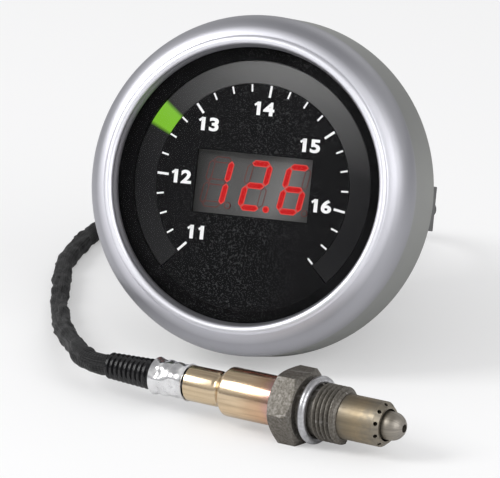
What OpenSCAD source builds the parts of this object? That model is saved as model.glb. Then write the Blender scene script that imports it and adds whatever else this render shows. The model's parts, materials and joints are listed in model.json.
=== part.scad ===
// Air fuel ratio gauge with its exhaust gas sensor: a round dash gauge leaning back on its bezel,
// the sensor lying in front of it, and the lead between them with its spare length coiled behind.
// Gauge pieces are drawn looking at the dial: x right, y up, z towards the driver, dial face at z = 0.
// Sensor pieces are drawn along z, tip upwards, with the front face of the hexagon at z = 0.

/* [Gauge case] */
// Diameter of the cup that passes through the panel hole
cup_d = 52; // [51.6:0.1:52.4]
// How far the bezel reaches past the cup all round
bezel_over = 4; // [3.5:0.1:5]
// Width of the bezel from its rim to the opening
bezel_face_w = 5.8; // [5.2:0.1:6.4]
// Pitch of the thread between bezel and cup
bezel_pitch = 1.5; // [1.4:0.05:1.6]
// Turns of the thread between bezel and cup
bezel_turns = 6; // [5:1:6]
// Depth behind the dial face at which the cup starts to taper
cup_straight = 23; // [22.5:0.5:25]
// Depth of the cup's rear face behind the dial face
cup_depth = 38.5; // [37:0.5:41]
// Diameter of the cup at its rear face
cup_rear_d = 43; // [42:0.5:45]
// Wall of the cup
cup_wall = 1.6; // [1.2:0.1:1.8]

/* [Dial] */
// Height of the bezel's crest in front of the lens gasket
lip_h = 2.2; // [1.8:0.1:2.8]
// Thickness of the lens
lens_t = 1.4; // [1:0.1:1.6]
// Thickness of the rubber ring that seals the lens
gasket_t = 0.4; // [0.3:0.1:0.6]
// Thickness of the black ring between lens and dial
spacer_t = 0.5; // [0.4:0.1:0.8]
// Width of the black ring that shows inside the opening
spacer_w = 2.1; // [1.6:0.1:2.6]
// Thickness of the dial plate
face_t = 0.8; // [0.6:0.1:1]
// Width of the arc that lights up
arc_w = 4.1; // [3.6:0.1:4.6]
// Angle that the arc covers
arc_sweep = 272; // [260:2:280]
// Number of marks round the dial
mark_count = 24; // [20:1:28]
// Width of the number display
display_w = 21.5; // [20:0.5:23]
// Height of the number display
display_h = 11; // [10:0.5:12]

/* [Boards] */
// Thickness of a circuit board
board_t = 1.6; // [1.2:0.1:2]
// Height of the display block on its board
display_block_h = 7; // [6:0.2:7.6]
// Distance between the two boards
board_gap = 10; // [9:0.5:11]
// Space between the main board and the cup
board_play = 1.4; // [1:0.1:2]
// Outer diameter of a board pillar
pillar_d = 5; // [4.5:0.1:6]
// Diameter of the case screws
screw_d = 2.9; // [2.5:0.1:3]

/* [Rear] */
// Width of the sensor socket
sensor_socket_w = 13; // [12:0.5:14]
// Width of the power socket
power_socket_w = 11; // [10:0.5:12]
// Height of the sockets
socket_h = 8; // [7.5:0.1:8.5]
// How far the sockets stand out of the rear
socket_out = 3; // [2:0.5:4]
// Thickness of a socket's walls
socket_wall = 1; // [0.8:0.1:1.2]
// Width of the selector switch
selector_w = 9; // [8:0.5:9.5]
// Diameter of the bracket studs
stud_d = 4; // [3.5:0.5:5]
// Turn of each bracket stud from the top of the rear
stud_turn = 50; // [45:1:60]
// How far the bracket studs stand out
stud_out = 10; // [8:1:12]

/* [Sensor] */
// Size of the hexagon across its flats
hex_af = 12; // [11.5:0.5:13]
// Length of the hexagon
hex_len = 4.85; // [4:0.05:6]
// Major diameter of the mounting thread
thread_d = 9.9; // [9.5:0.1:10.2]
// Length of the mounting thread
thread_len = 5.3; // [4.5:0.1:7]
// How far the sealing washer reaches past the thread
washer_over = 0.95; // [0.8:0.05:1.2]
// Thickness of the sealing washer
washer_t = 1.6; // [1.2:0.1:1.8]
// Diameter of the outer protection tube
tube_d = 7.8; // [7.2:0.1:8.2]
// Length of the outer protection tube
tube_len = 8; // [7:0.1:10]
// Diameter of the inner protection tube
inner_tube_d = 4.9; // [4.6:0.1:5.2]
// How far the inner protection tube stands out of the outer one
inner_tube_out = 3.3; // [2.8:0.1:4]
// Diameter of the shell behind the hexagon
lower_shell_d = 8.6; // [8.2:0.1:8.8]
// Length of the shell behind the hexagon
lower_shell_len = 12.3; // [11:0.1:14]
// Diameter of the upper shell
upper_shell_d = 6.2; // [6:0.1:6.4]
// Length of the upper shell
upper_shell_len = 6.9; // [6:0.1:8]
// Wall of the shells and tubes
shell_wall = 0.4; // [0.3:0.05:0.45]
// How far the crimped ferrule stands proud of the upper shell
ferrule_over = 0.2; // [0.15:0.05:0.35]
// Length of the crimped ferrule
ferrule_len = 7.3; // [6.5:0.1:8]
// Length of the ribbed boot
boot_len = 10; // [9:0.5:13]
// Number of ribs on the boot
boot_ribs = 9; // [7:1:11]

/* [Lead] */
// Diameter of the sleeved lead
lead_d = 3.4; // [3.2:0.1:3.6]
// Number of turns in the coil
coil_turns = 4; // [2:2:6]
// Space between neighbouring turns
coil_gap = 0.5; // [0.45:0.05:0.7]
// Length of the plug on the lead
plug_len = 18; // [16:0.5:20]

/* [Placement] */
// Place of the dial's middle from left to right
gauge_x = -7; // [-12:0.5:0]
// Place of the dial's middle from front to back
gauge_y = -2; // [-6:0.5:4]
// Place of the hexagon from left to right
sensor_x = 17.5; // [12:0.5:22]
// Place of the hexagon from front to back
sensor_y = -40.9; // [-46:0.1:-38]
// Turn of the sensor from the row of the dial, seen from above
sensor_turn = -14; // [-20:1:-8]

/* [Hidden] */
$fn = 96;

// One overrun serves every cut, and one touch-free space serves still pieces that sit in each other
overrun = 1;
seat_gap = 0.1;
turning_gap = 0.05;

// The stack in front of the dial: black ring, lens, gasket and the bezel's shoulder over them
lens_z = spacer_t;
gasket_z = lens_z + lens_t;
shoulder_z = gasket_z + gasket_t;
crest_z = shoulder_z + lip_h;

// The cup's nose carries the bezel's thread, and the bezel's skirt covers it
cup_r = cup_d / 2;
nose_over = 1.2;
thread_run_in = 0.6;
skirt_cover = 0.8;
run_out_depth = 0.2;
nose_r = cup_r + nose_over;
nose_end = -face_t - bezel_turns * bezel_pitch - thread_run_in;
bezel_rear_z = nose_end - skirt_cover;
bezel_r = cup_r + bezel_over;
bezel_bore_r = nose_r + seat_gap;

// The opening of the bezel and what sits behind its shoulder
lens_edge = 1.4;
window_r = bezel_r - bezel_face_w;
lens_r = window_r + lens_edge;
lens_bore_r = lens_r + 2 * seat_gap;
face_seat_r = lens_r - 2 * seat_gap;
seat_step = face_t / 2;

// The bezel's face swells from its rim to its lip, and flares from the lip down to the opening
lip_share = 0.26;
lip_r = window_r + lip_share * bezel_face_w;
lip_round = 0.45;
lip_arc = [30, 150];
lip_sink = 0.27;
flare_r = window_r + 2 * lip_round;
rim_round = 0.35;
rim_z = -0.8;

// The cup
cup_inner_r = cup_r - cup_wall;
cup_rear_r = cup_rear_d / 2;
rear_inner_r = cup_rear_r - cup_wall;
rear_round = cup_wall / 2;
rear_z = -cup_depth;
rear_wall_z = rear_z + cup_wall;

// The case screws go through bosses in the cup and through the main board into the board pillars
boss_angles = [90, 235, 305];
boss_inset = 0.9;
boss_circle_r = rear_inner_r - pillar_d / 2 - boss_inset;
head_w_share = 1.9;
head_h_share = 0.55;
slot_len_share = 0.7;
slot_w_share = 0.16;
slot_depth_share = 0.6;
screw_head_d = head_w_share * screw_d;
screw_head_h = head_h_share * screw_d;

// The stack behind the dial
arc_drop = 0.6;
display_sink = 1;
block_top = -face_t - display_sink;
led_board_front = block_top - display_block_h;
led_board_rear = led_board_front - board_t;
main_board_front = led_board_rear - board_gap;
main_board_rear = main_board_front - board_t;
led_board_play = 0.8;
led_board_r = cup_inner_r - led_board_play;
main_board_r = cup_inner_r - board_play;

// The arc, its cells and their lights
spacer_bore_r = window_r - spacer_w;
arc_r_out = spacer_bore_r - seat_gap;
arc_r_in = arc_r_out - arc_w;
arc_end_gap = 1;
mark_sweep = arc_sweep - 2 * arc_end_gap;
mark_pitch = mark_sweep / (mark_count - 1);
first_mark = 90 + mark_sweep / 2;
cell_share = 0.8;
baffle_wall = 1.3;
led_share = 0.42;
led_h_share = 0.4;
led_size = led_share * arc_w;
led_h = led_h_share * led_size;

// The display block and its slanted seven segment digits
block_edge_w = 0.55;
block_edge_h = 1.5;
block_w = display_w + 2 * block_edge_w;
block_h = display_h + 2 * block_edge_h;
digit_count = 3;
digit_pitch = display_w / digit_count;
digit_h_share = 0.827;
digit_w_share = 0.52;
digit_slant = 10;
segment_share = 0.13;
segment_gap_share = 0.025;
segment_depth_share = 0.06;
point_share = 0.7;
digit_h = digit_h_share * display_h;
digit_w = digit_w_share * digit_h;
segment_t = segment_share * digit_h;
segment_gap = segment_gap_share * digit_h;
segment_depth = segment_depth_share * digit_h;

// What stands on the main board's front; each chip has its place, width, height and thickness in chips
header_drop = 6;
header_w_share = 4.2;
header_h_share = 0.9;
chip = 0.4 * main_board_r;
CHIPS = [[-1, 0.6, 1, 1, 0.14], [1, 0.6, 1.3, 0.8, 0.24], [-1.4, -0.7, 0.7, 0.6, 0.24]];
can_r = 0.13 * main_board_r;
can_x = main_board_r - 2.15 * can_r;
can_drop = 2.8;
can_pitch = 2.4 * can_r;
can_h = 0.75 * board_gap;

// Rear fittings
pin_size = 0.64;
pin_pitch = 3;
pin_reach = 5;
pin_play = 0.2;
cavity_depth = 9.6;
selector_h = 5;
rotor_r = 2.5;
rotor_play = 0.4;
rotor_flange_over = 1;
rotor_flange_t = 1;
rotor_flange_share = 0.6;
rotor_slot = 0.9;
rotor_slot_depth = 1.25;
rotor_sink = 0.8;
boss_space = 1.5;
selector_y = boss_circle_r - pillar_d / 2 - boss_space - selector_w / 2;
socket_space = 0.5;
socket_edge = 1.7;
socket_y = selector_y - selector_w / 2 - socket_space - socket_h / 2;
socket_corner_y = abs(socket_y) + socket_h / 2;
socket_x = sqrt(pow(rear_inner_r - socket_edge, 2) - pow(socket_corner_y, 2)) - sensor_socket_w / 2;
socket_end = rear_z - socket_out;
cavity_end = socket_end + cavity_depth;
rotor_end = rear_z + rotor_sink;
rotor_flange_z = main_board_rear - rotor_flange_share * selector_h;
rotor_flange_r = rotor_r + rotor_flange_over;

// A bracket stud has a thicker neck through the cup's rear and a foot inside
stud_r = stud_d / 2;
stud_neck_r = stud_r + 0.3;
stud_neck_out = 0.5;
stud_foot_r = stud_r + 0.7;
stud_foot_t = 1.4;
stud_circle_r = rear_inner_r - stud_foot_r - seat_gap;

// The sensor's body and tubes
hex_r = hex_af / 2 / cos(30);
hex_chamfer = 0.9;
hex_bevel = 0.3;
neck_len = 0.9;
neck_over = 0.15;
root_depth = 0.3;
bore_step = 0.4;
neck_r = thread_d / 2 + neck_over;
root_r = thread_d / 2 - root_depth;
washer_r = thread_d / 2 + washer_over;
washer_bore_r = root_r + seat_gap + turning_gap;
seat_z = neck_len + washer_t;
thread_end = seat_z + thread_len;
tube_end = thread_end + tube_len;
tip_z = tube_end + inner_tube_out;
body_bore_r = tube_d / 2 - shell_wall - bore_step;
tube_seat_share = 0.25;
shell_seat_share = 0.3;
tube_seat_z = thread_end - tube_seat_share * thread_len;
shell_seat_z = -hex_len + shell_seat_share * hex_len;
tube_chamfer = 0.9;
chamfer_share = 0.65;
tube_mouth_gap = 0.35;
tube_mouth_r = inner_tube_d / 2 + tube_mouth_gap;
tube_top_r = tube_d / 2 - chamfer_share * (tube_d / 2 - tube_mouth_r);
tip_hole_r = 0.7;
vent_r = 0.35;
vent_count = 10;
vent_tilt = 40;

// The element and its packing: two ceramic rings with pressed powder between them
element_w_share = 0.55;
element_h_share = 0.2;
element_w = element_w_share * inner_tube_d;
element_h = element_h_share * inner_tube_d;
packing_len = tube_seat_z - shell_seat_z;
upper_ring_share = 0.4;
powder_share = 0.25;
powder_z = shell_seat_z + upper_ring_share * packing_len;
lower_ring_z = powder_z + powder_share * packing_len;

// The shells, the ferrule and the boot
lower_shell_z = -hex_len - lower_shell_len;
upper_shell_z = lower_shell_z - upper_shell_len;
ferrule_z = upper_shell_z - ferrule_len;
boot_z = ferrule_z - boot_len;
shell_step = 1.3;
groove_depth = 0.2;
groove_half = 0.6;
groove_r = upper_shell_d / 2 - groove_depth;
holder_share = 0.2;
holder_r = groove_r - shell_wall - 3 * seat_gap;
ferrule_r = upper_shell_d / 2 + ferrule_over;
ferrule_lap_share = 0.05;
ferrule_lap = ferrule_lap_share * ferrule_len;
crimp_depth = 0.28;
crimp_depths = [0.9, 1, 0, 1, 0] * crimp_depth;
ferrule_bore_r = ferrule_r - crimp_depth - shell_wall;
wire_r = 0.7;
wire_circle_r = 1.55;
boot_step = 0.6;
boot_taper = 0.4;
boot_big_r = ferrule_r - boot_step;
boot_small_r = boot_big_r - boot_taper;
ribbed_share = 0.92;
boot_pitch = ribbed_share * boot_len / boot_ribs;
rib_depth = 0.45;
rib_shares = [0.12, 0.3, 0.62, 0.8];
boot_bore_share = 0.45;
boot_bore_r = boot_bore_share * boot_small_r;

// The plug on the lead
plug_tip = 7.2;
plug_tip_z = socket_end + plug_tip;
plug_start = socket_end - 2 * seat_gap;
plug_end = plug_start - plug_len;
plug_body_share = 0.6;
plug_seal_share = 0.2;
plug_neck_share = 0.36;
latch_w_share = 0.4;
latch_h_share = 0.3;
latch_len_share = 0.5;
plug_neck_r = plug_neck_share * socket_h;
plug_body_z = plug_start - plug_body_share * plug_len;
plug_seal_z = plug_end + plug_seal_share * plug_len;
seal_lip = 0.3;

// The gauge leans back until the cup's rear edge touches the surface that the bezel stands on
lean = atan((bezel_r - cup_rear_r) / (cup_depth + bezel_rear_z));
gauge_z = bezel_r * cos(lean) - bezel_rear_z * sin(lean);

// Points of the gauge and of the sensor's axis, in the place where they stand
function gauge_point(x, y, z) =
    [gauge_x + x, gauge_y + y * sin(lean) - z * cos(lean), gauge_z + y * cos(lean) + z * sin(lean)];
function sensor_point(z) =
    [sensor_x + z * cos(sensor_turn), sensor_y + z * sin(sensor_turn), hex_af / 2];

// The coil lies to the left of the plug: it winds inwards, climbs in half a turn and winds outwards
tie_t = 0.5;
tie_gap = 0.1;
tie_angle = 200;
coil_left = 34;
coil_back = 1.3;
coil_mid_r = 18;
coil_rings = 24;
coil_climb = 0.5;
lead_r = lead_d / 2;
lead_sides = 8;
lead_start = gauge_point(socket_x, socket_y, plug_end - turning_gap);
lead_end = sensor_point(boot_z - turning_gap);
coil_x = lead_start[0] - coil_left;
coil_y = lead_start[1] + coil_back;
coil_pitch = lead_d + coil_gap;
coil_low = tie_t + tie_gap + lead_r;
coil_high = coil_low + coil_pitch;
coil_out_r = coil_mid_r + coil_pitch * coil_turns / 4;
coil_start = [coil_x + lead_d, coil_y + coil_out_r, coil_low];
coil_finish = [coil_x - lead_d, coil_y + coil_out_r, coil_high];
function run_r(turn) = coil_out_r - coil_pitch * (turn < coil_turns / 2 ? turn : coil_turns - turn);
function coil_point(turn) = let (r = run_r(turn), a = 90 + 360 * turn,
    rise = min(1, max(0, (turn - coil_turns / 2) / coil_climb + 0.5)))
    [coil_x + r * cos(a), coil_y + r * sin(a), coil_low + (coil_high - coil_low) * rise];
coil_points = concat([coil_start], [for (i = [0 : coil_turns * coil_rings]) coil_point(i / coil_rings)],
    [coil_finish]);

// From the plug to the coil: how far left, how far back, and the share of the drop
plug_way = [[-0.2, 8.3, 0.234], [-1.6, 13.3, 0.417], [-5.2, 17.9, 0.626], [-10.5, 21.3, 0.818],
    [-16.5, 22.9, 0.945], [-23.5, 23.2, 1]];
plug_lead_points = concat([lead_start, gauge_point(socket_x, socket_y, plug_end - lead_d)],
    [for (w = plug_way) [lead_start[0] + w[0], lead_start[1] + w[1],
        lead_start[2] + (coil_low - lead_start[2]) * w[2]]],
    [coil_start + [lead_d, 0, 0], coil_start]);

// From the coil to the sensor: the share of the way, how far out to the left, and the share of the height
sensor_way = [[0.0037, 8.1, 0.89], [0.0211, 13.8, 0.62], [0.0579, 19.7, 0.31], [0.1094, 24.4, 0.09],
    [0.169, 27.2, 0], [0.2335, 28.4, 0], [0.3024, 28.7, 0], [0.385, 28.2, 0], [0.4632, 26.6, 0],
    [0.5414, 24.4, 0], [0.6241, 21.9, 0], [0.6976, 19.1, 0.09], [0.7711, 16.4, 0.35], [0.84, 13.15, 0.63],
    [0.909, 9.4, 0.86], [0.9623, 6.2, 0.98]];
function sensor_way_point(w) = let (near = w[0] < 0.5 ? coil_finish : lead_end,
    line = coil_finish + (lead_end - coil_finish) * w[0])
    [line[0] - w[1], line[1], lead_r + (near[2] - lead_r) * w[2]];
sensor_lead_points = concat([coil_finish, coil_finish - [lead_d, 0, 0]],
    [for (w = sensor_way) sensor_way_point(w)],
    [sensor_point(boot_z - lead_d), lead_end]);

// The least space between turns of the coil, measured between their centre lines
coil_near = min([for (i = [0 : 4 : len(coil_points) - 1], j = [i + coil_rings / 2 : 1 : len(coil_points) - 1])
    norm(coil_points[i] - coil_points[j])]) - lead_d;
echo(least_gap_in_coil = coil_near);

// Placing

module on_gauge() {
    translate([gauge_x, gauge_y, gauge_z]) rotate([90 - lean, 0, 0]) children();
}

module on_sensor() {
    translate([sensor_x, sensor_y, hex_af / 2]) rotate([0, 0, sensor_turn]) rotate([0, 90, 0]) children();
}

// Shapes that more than one piece uses

module ring(r_out, r_in, z_low, z_high) {
    translate([0, 0, z_low]) difference() {
        cylinder(r = r_out, h = z_high - z_low);
        translate([0, 0, -overrun]) cylinder(r = r_in, h = z_high - z_low + 2 * overrun);
    }
}

module disc(r, z_low, z_high) {
    translate([0, 0, z_low]) cylinder(r = r, h = z_high - z_low);
}

module block(w, h, z_low, z_high) {
    translate([-w / 2, -h / 2, z_low]) cube([w, h, z_high - z_low]);
}

module around(angles, r) {
    for (a = angles) translate([r * cos(a), r * sin(a), 0]) children();
}

module arc_band(r_in, r_out, z_low, z_high, sweep) {
    rotate([0, 0, 90 - sweep / 2]) rotate_extrude(angle = sweep)
        translate([r_in, z_low]) square([r_out - r_in, z_high - z_low]);
}

// An arc of points, for outlines that are turned about an axis
function arc_points(cx, cy, r, from, to, steps) =
    [for (i = [0 : steps]) let (a = from + (to - from) * i / steps) [cx + r * cos(a), cy + r * sin(a)]];

// Gauge case

module bezel() {
    color("silver") on_gauge() rotate_extrude() polygon(concat(
        [[bezel_bore_r, bezel_rear_z]],
        arc_points(bezel_r - rim_round, bezel_rear_z + rim_round, rim_round, -90, 0, 4),
        face_points(),
        arc_points(lip_r - lip_round, crest_z - lip_round, lip_round, lip_arc[0], lip_arc[1], 6),
        [[flare_r, crest_z - 2 * lip_round], [window_r, shoulder_z + lip_round], [window_r, shoulder_z],
            [lens_bore_r, shoulder_z], [lens_bore_r, -seat_step], [bezel_bore_r, -seat_step]]));
}

// The face of the bezel swells from its rim to its lip in one round stretch
function face_points() = [for (i = [0 : 10]) let (a = 90 * i / 10)
    [bezel_r - (bezel_r - lip_r) * (1 - cos(a)), rim_z + (crest_z - lip_round - lip_sink - rim_z) * sin(a)]];

module lens() {
    color([0.85, 0.9, 0.92, 0.3]) on_gauge() disc(lens_r, lens_z, gasket_z);
}

module lens_gasket() {
    color([0.06, 0.06, 0.06]) on_gauge() ring(lens_r, window_r + seat_gap, gasket_z, shoulder_z);
}

module spacer_ring() {
    color([0.04, 0.04, 0.04]) on_gauge() ring(face_seat_r, spacer_bore_r, 0, spacer_t);
}

module cup() {
    color([0.07, 0.07, 0.08]) on_gauge() difference() {
        union() {
            difference() {
                rotate_extrude() polygon(cup_outline());
                rotate_extrude() polygon(cup_hollow());
            }
            around(boss_angles, boss_circle_r) disc(pillar_d / 2, rear_z + cup_wall / 2, main_board_rear);
        }
        around(boss_angles, boss_circle_r) {
            disc(screw_d / 2 + 2 * seat_gap, rear_z - overrun, main_board_rear + overrun);
            disc(screw_head_d / 2 + seat_gap, rear_z - overrun, rear_z + screw_head_h);
        }
        translate([socket_x, socket_y, 0])
            block(sensor_socket_w + 2 * seat_gap, socket_h + 2 * seat_gap, rear_z - overrun,
                rear_wall_z + overrun);
        translate([-socket_x, socket_y, 0])
            block(power_socket_w + 2 * seat_gap, socket_h + 2 * seat_gap, rear_z - overrun,
                rear_wall_z + overrun);
        translate([0, selector_y, 0]) disc(rotor_r + rotor_play, rear_z - overrun, rear_wall_z + overrun);
        around([90 - stud_turn, 90 + stud_turn], stud_circle_r)
            disc(stud_neck_r + seat_gap, rear_z - overrun, rear_wall_z + overrun);
    }
}

function cup_outline() = concat(
    [[0, -face_t], [nose_r, -face_t], [nose_r, nose_end], [cup_r - run_out_depth, nose_end]],
    [[cup_r - run_out_depth, bezel_rear_z - seat_gap], [cup_r, bezel_rear_z - seat_gap], [cup_r, -cup_straight]],
    arc_points(cup_rear_r - rear_round, rear_z + rear_round, rear_round, 0, -90, 4),
    [[0, rear_z]]);

function cup_hollow() = [[0, -face_t + overrun], [cup_inner_r, -face_t + overrun],
    [cup_inner_r, -cup_straight], [rear_inner_r, rear_wall_z], [0, rear_wall_z]];

module case_screws() {
    color([0.45, 0.45, 0.47]) on_gauge() around(boss_angles, boss_circle_r) difference() {
        union() {
            disc(screw_head_d / 2, rear_z + seat_gap, rear_z + screw_head_h);
            disc(screw_d / 2, rear_z + screw_head_h, main_board_front + board_gap / 2);
        }
        for (a = [0, 90]) rotate([0, 0, a])
            block(slot_len_share * screw_head_d, slot_w_share * screw_head_d, rear_z - overrun,
                rear_z + slot_depth_share * screw_head_h);
    }
}

module bracket_studs() {
    color([0.6, 0.6, 0.62]) on_gauge() around([90 - stud_turn, 90 + stud_turn], stud_circle_r) {
        disc(stud_r, rear_z - stud_out, rear_z);
        disc(stud_neck_r, rear_z - stud_neck_out, rear_wall_z + stud_foot_t);
        disc(stud_foot_r, rear_wall_z, rear_wall_z + stud_foot_t);
    }
}

// Dial

module faceplate() {
    color([0.05, 0.05, 0.05]) on_gauge() difference() {
        disc(face_seat_r, -face_t, 0);
        arc_band(arc_r_in, arc_r_out, -face_t - overrun, overrun, arc_sweep);
        block(display_w, display_h, -face_t - overrun, overrun);
    }
}

module arc_window() {
    color([0.2, 0.2, 0.21]) on_gauge() {
        arc_band(arc_r_in + seat_gap, arc_r_out - seat_gap, -face_t - arc_drop, 0, arc_sweep - arc_end_gap);
    }
}

module display_window() {
    color([0.25, 0.08, 0.08]) on_gauge() {
        block(display_w - 2 * seat_gap, display_h - 2 * seat_gap, -face_t, -seat_gap);
    }
}

module display_block() {
    color([0.12, 0.12, 0.12]) on_gauge() difference() {
        block(block_w, block_h, led_board_front, block_top);
        digits(seat_gap / 2, overrun);
    }
}

module digit_segments() {
    color([0.85, 0.12, 0.1]) on_gauge() digits(0, 0);
}

module digits(grow, above) {
    translate([0, 0, block_top - segment_depth]) linear_extrude(segment_depth + above)
        for (i = [0 : digit_count - 1]) translate([(i - (digit_count - 1) / 2) * digit_pitch, 0]) {
            slant_bar(0, digit_h / 2 - segment_t / 2, true, grow);
            slant_bar(0, 0, true, grow);
            slant_bar(0, -digit_h / 2 + segment_t / 2, true, grow);
            for (s = [-1, 1], t = [-1, 1])
                slant_bar(s * (digit_w / 2 - segment_t / 2), t * (digit_h - segment_t) / 4, false, grow);
            translate([digit_w / 2 + point_share * segment_t - digit_h / 2 * tan(digit_slant),
                segment_t / 2 - digit_h / 2]) circle(r = segment_t / 2 + grow);
        }
}

// One bar of a digit: pointed at both ends and leaning with the digit
module slant_bar(x, y, flat, grow) {
    long = (flat ? digit_w - segment_t : (digit_h - segment_t) / 2) / 2 - segment_gap + grow;
    half = segment_t / 2 - segment_gap / 2 + grow;
    outline = [[-long, 0], [-long + half, half], [long - half, half], [long, 0], [long - half, -half],
        [-long + half, -half]];
    polygon([for (p = outline) let (q = flat ? p : [-p[1], p[0]])
        [x + q[0] + (y + q[1]) * tan(digit_slant), y + q[1]]]);
}

module light_baffle() {
    color([0.9, 0.9, 0.88]) on_gauge() difference() {
        arc_band(arc_r_in - baffle_wall, arc_r_out + baffle_wall / 2, led_board_front, -face_t - arc_drop,
            arc_sweep);
        for (i = [0 : mark_count - 2]) rotate([0, 0, first_mark - (i + 0.5) * mark_pitch - 90])
            arc_band(arc_r_in + seat_gap, arc_r_out - seat_gap, led_board_front - overrun, overrun,
                mark_pitch * cell_share);
    }
}

module arc_leds() {
    color([0.95, 0.95, 0.8]) on_gauge() for (i = [0 : mark_count - 2])
        rotate([0, 0, first_mark - (i + 0.5) * mark_pitch]) translate([arc_r_in + arc_w / 2, 0, 0])
            block(led_size, led_size, led_board_front, led_board_front + led_h);
}

// Boards

module led_board() {
    color([0.05, 0.3, 0.12]) on_gauge() disc(led_board_r, led_board_rear, led_board_front);
}

module board_header() {
    color([0.08, 0.08, 0.08]) on_gauge() translate([0, -header_drop, 0]) difference() {
        block(header_w_share * pin_pitch, header_h_share * pin_pitch, main_board_front, led_board_rear);
        header_holes() block(pin_size + pin_play, pin_size + pin_play, main_board_front - overrun,
            led_board_rear + overrun);
    }
}

module header_pins() {
    color("goldenrod") on_gauge() translate([0, -header_drop, 0])
        header_holes() block(pin_size, pin_size, main_board_front, led_board_rear);
}

module header_holes() {
    for (i = [-1.5 : 1.5]) translate([i * pin_pitch, 0, 0]) children();
}

module board_pillars() {
    color([0.75, 0.72, 0.6]) on_gauge() around(boss_angles, boss_circle_r)
        ring(pillar_d / 2, screw_d / 2 + turning_gap, main_board_front, led_board_rear);
}

module main_board() {
    color([0.05, 0.3, 0.12]) on_gauge() difference() {
        disc(main_board_r, main_board_rear, main_board_front);
        around(boss_angles, boss_circle_r)
            disc(screw_d / 2 + 2 * seat_gap, main_board_rear - overrun, main_board_front + overrun);
    }
}

module control_chips() {
    color([0.1, 0.1, 0.1]) on_gauge() {
        for (c = CHIPS) translate([c[0] * chip, c[1] * chip, 0])
            block(c[2] * chip, c[3] * chip, main_board_front, main_board_front + c[4] * chip);
    }
}

module capacitors() {
    color([0.6, 0.62, 0.65]) on_gauge() for (i = [0, 1])
        translate([can_x, -can_drop - i * can_pitch, 0]) disc(can_r, main_board_front, main_board_front + can_h);
}

// Rear

module socket_body(w) {
    difference() {
        block(w, socket_h, socket_end, main_board_rear);
        block(w - 2 * socket_wall, socket_h - 2 * socket_wall, socket_end - overrun, cavity_end);
        pins_of(w) block(pin_size, pin_size, socket_end - overrun, main_board_rear + overrun);
    }
}

module pins_of(w) {
    columns = floor((w - 3 * socket_wall) / pin_pitch);
    for (i = [0 : columns - 1]) translate([(i - (columns - 1) / 2) * pin_pitch, 0, 0]) children();
}

module sensor_socket() {
    color([0.1, 0.1, 0.1]) on_gauge() translate([socket_x, socket_y, 0]) socket_body(sensor_socket_w);
}

module power_socket() {
    color([0.85, 0.83, 0.75]) on_gauge() translate([-socket_x, socket_y, 0]) socket_body(power_socket_w);
}

module sensor_pins() {
    color("goldenrod") on_gauge() translate([socket_x, socket_y, 0])
        pins_of(sensor_socket_w) block(pin_size, pin_size, cavity_end - pin_reach, main_board_rear);
}

module power_pins() {
    color("goldenrod") on_gauge() translate([-socket_x, socket_y, 0])
        pins_of(power_socket_w) block(pin_size, pin_size, cavity_end - pin_reach, main_board_rear);
}

module selector_switch() {
    color([0.1, 0.2, 0.45]) on_gauge() translate([0, selector_y, 0]) difference() {
        block(selector_w, selector_w, main_board_rear - selector_h, main_board_rear);
        disc(rotor_flange_r + turning_gap, rotor_flange_z, main_board_rear + overrun);
        disc(rotor_r + turning_gap, main_board_rear - selector_h - overrun, main_board_rear + overrun);
    }
}

module selector_rotor() {
    color([0.9, 0.9, 0.88]) on_gauge() translate([0, selector_y, 0]) difference() {
        union() {
            disc(rotor_r, rotor_end, main_board_rear - seat_gap);
            disc(rotor_flange_r, rotor_flange_z + turning_gap, rotor_flange_z + turning_gap + rotor_flange_t);
        }
        block(2 * (rotor_r + overrun), rotor_slot, rotor_end - overrun, rotor_end + rotor_slot_depth);
    }
}

// Sensor

module hex_body() {
    color([0.5, 0.5, 0.52]) on_sensor() difference() {
        union() {
            intersection() {
                translate([0, 0, -hex_len]) rotate([0, 0, 30]) cylinder(r = hex_r, h = hex_len, $fn = 6);
                rotate_extrude() polygon([[0, -hex_len], [hex_af / 2 - hex_bevel, -hex_len],
                    [hex_r + hex_bevel, -hex_len + hex_chamfer], [hex_r + hex_bevel, -hex_chamfer],
                    [hex_af / 2 - hex_bevel, 0], [0, 0]]);
            }
            disc(neck_r, -overrun, neck_len);
            disc(root_r, -overrun, seat_z + overrun);
            disc(thread_d / 2, seat_z, thread_end);
        }
        disc(body_bore_r, -hex_len - overrun, thread_end + overrun);
        disc(tube_d / 2 + turning_gap, tube_seat_z, thread_end + overrun);
        disc(lower_shell_d / 2 + turning_gap, -hex_len - overrun, shell_seat_z);
    }
}

// The washer turns freely, held between the hexagon's neck and the thread
// The washer turns freely, held between the hexagon's neck and the thread
module sealing_washer() {
    round_r = washer_t / 2 - turning_gap;
    color([0.78, 0.78, 0.8]) on_sensor() rotate_extrude() translate([0, neck_len + washer_t / 2]) intersection() {
        union() {
            translate([washer_bore_r, -round_r]) square([washer_r - round_r - washer_bore_r, 2 * round_r]);
            translate([washer_r - round_r, 0]) circle(r = round_r);
        }
        translate([washer_bore_r, -washer_t]) square([washer_r, 2 * washer_t]);
    }
}

module outer_tube() {
    color([0.5, 0.46, 0.4]) on_sensor() difference() {
        rotate_extrude() polygon([[body_bore_r + seat_gap, tube_seat_z], [tube_d / 2, tube_seat_z],
            [tube_d / 2, tube_end - tube_chamfer], [tube_top_r, tube_end], [tube_mouth_r, tube_end],
            [tube_mouth_r, tube_end - shell_wall], [tube_top_r - shell_wall / 2, tube_end - shell_wall],
            [tube_d / 2 - shell_wall, tube_end - tube_chamfer - shell_wall / 2],
            [tube_d / 2 - shell_wall, thread_end], [body_bore_r + seat_gap, thread_end]]);
        for (i = [0 : vent_count - 1]) rotate([0, 0, 360 * i / vent_count])
            translate([(tube_d / 2 + tube_top_r) / 2, 0, tube_end - tube_chamfer / 2]) rotate([0, vent_tilt, 0])
                translate([0, 0, -overrun]) cylinder(r = vent_r, h = 2 * overrun);
    }
}

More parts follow.
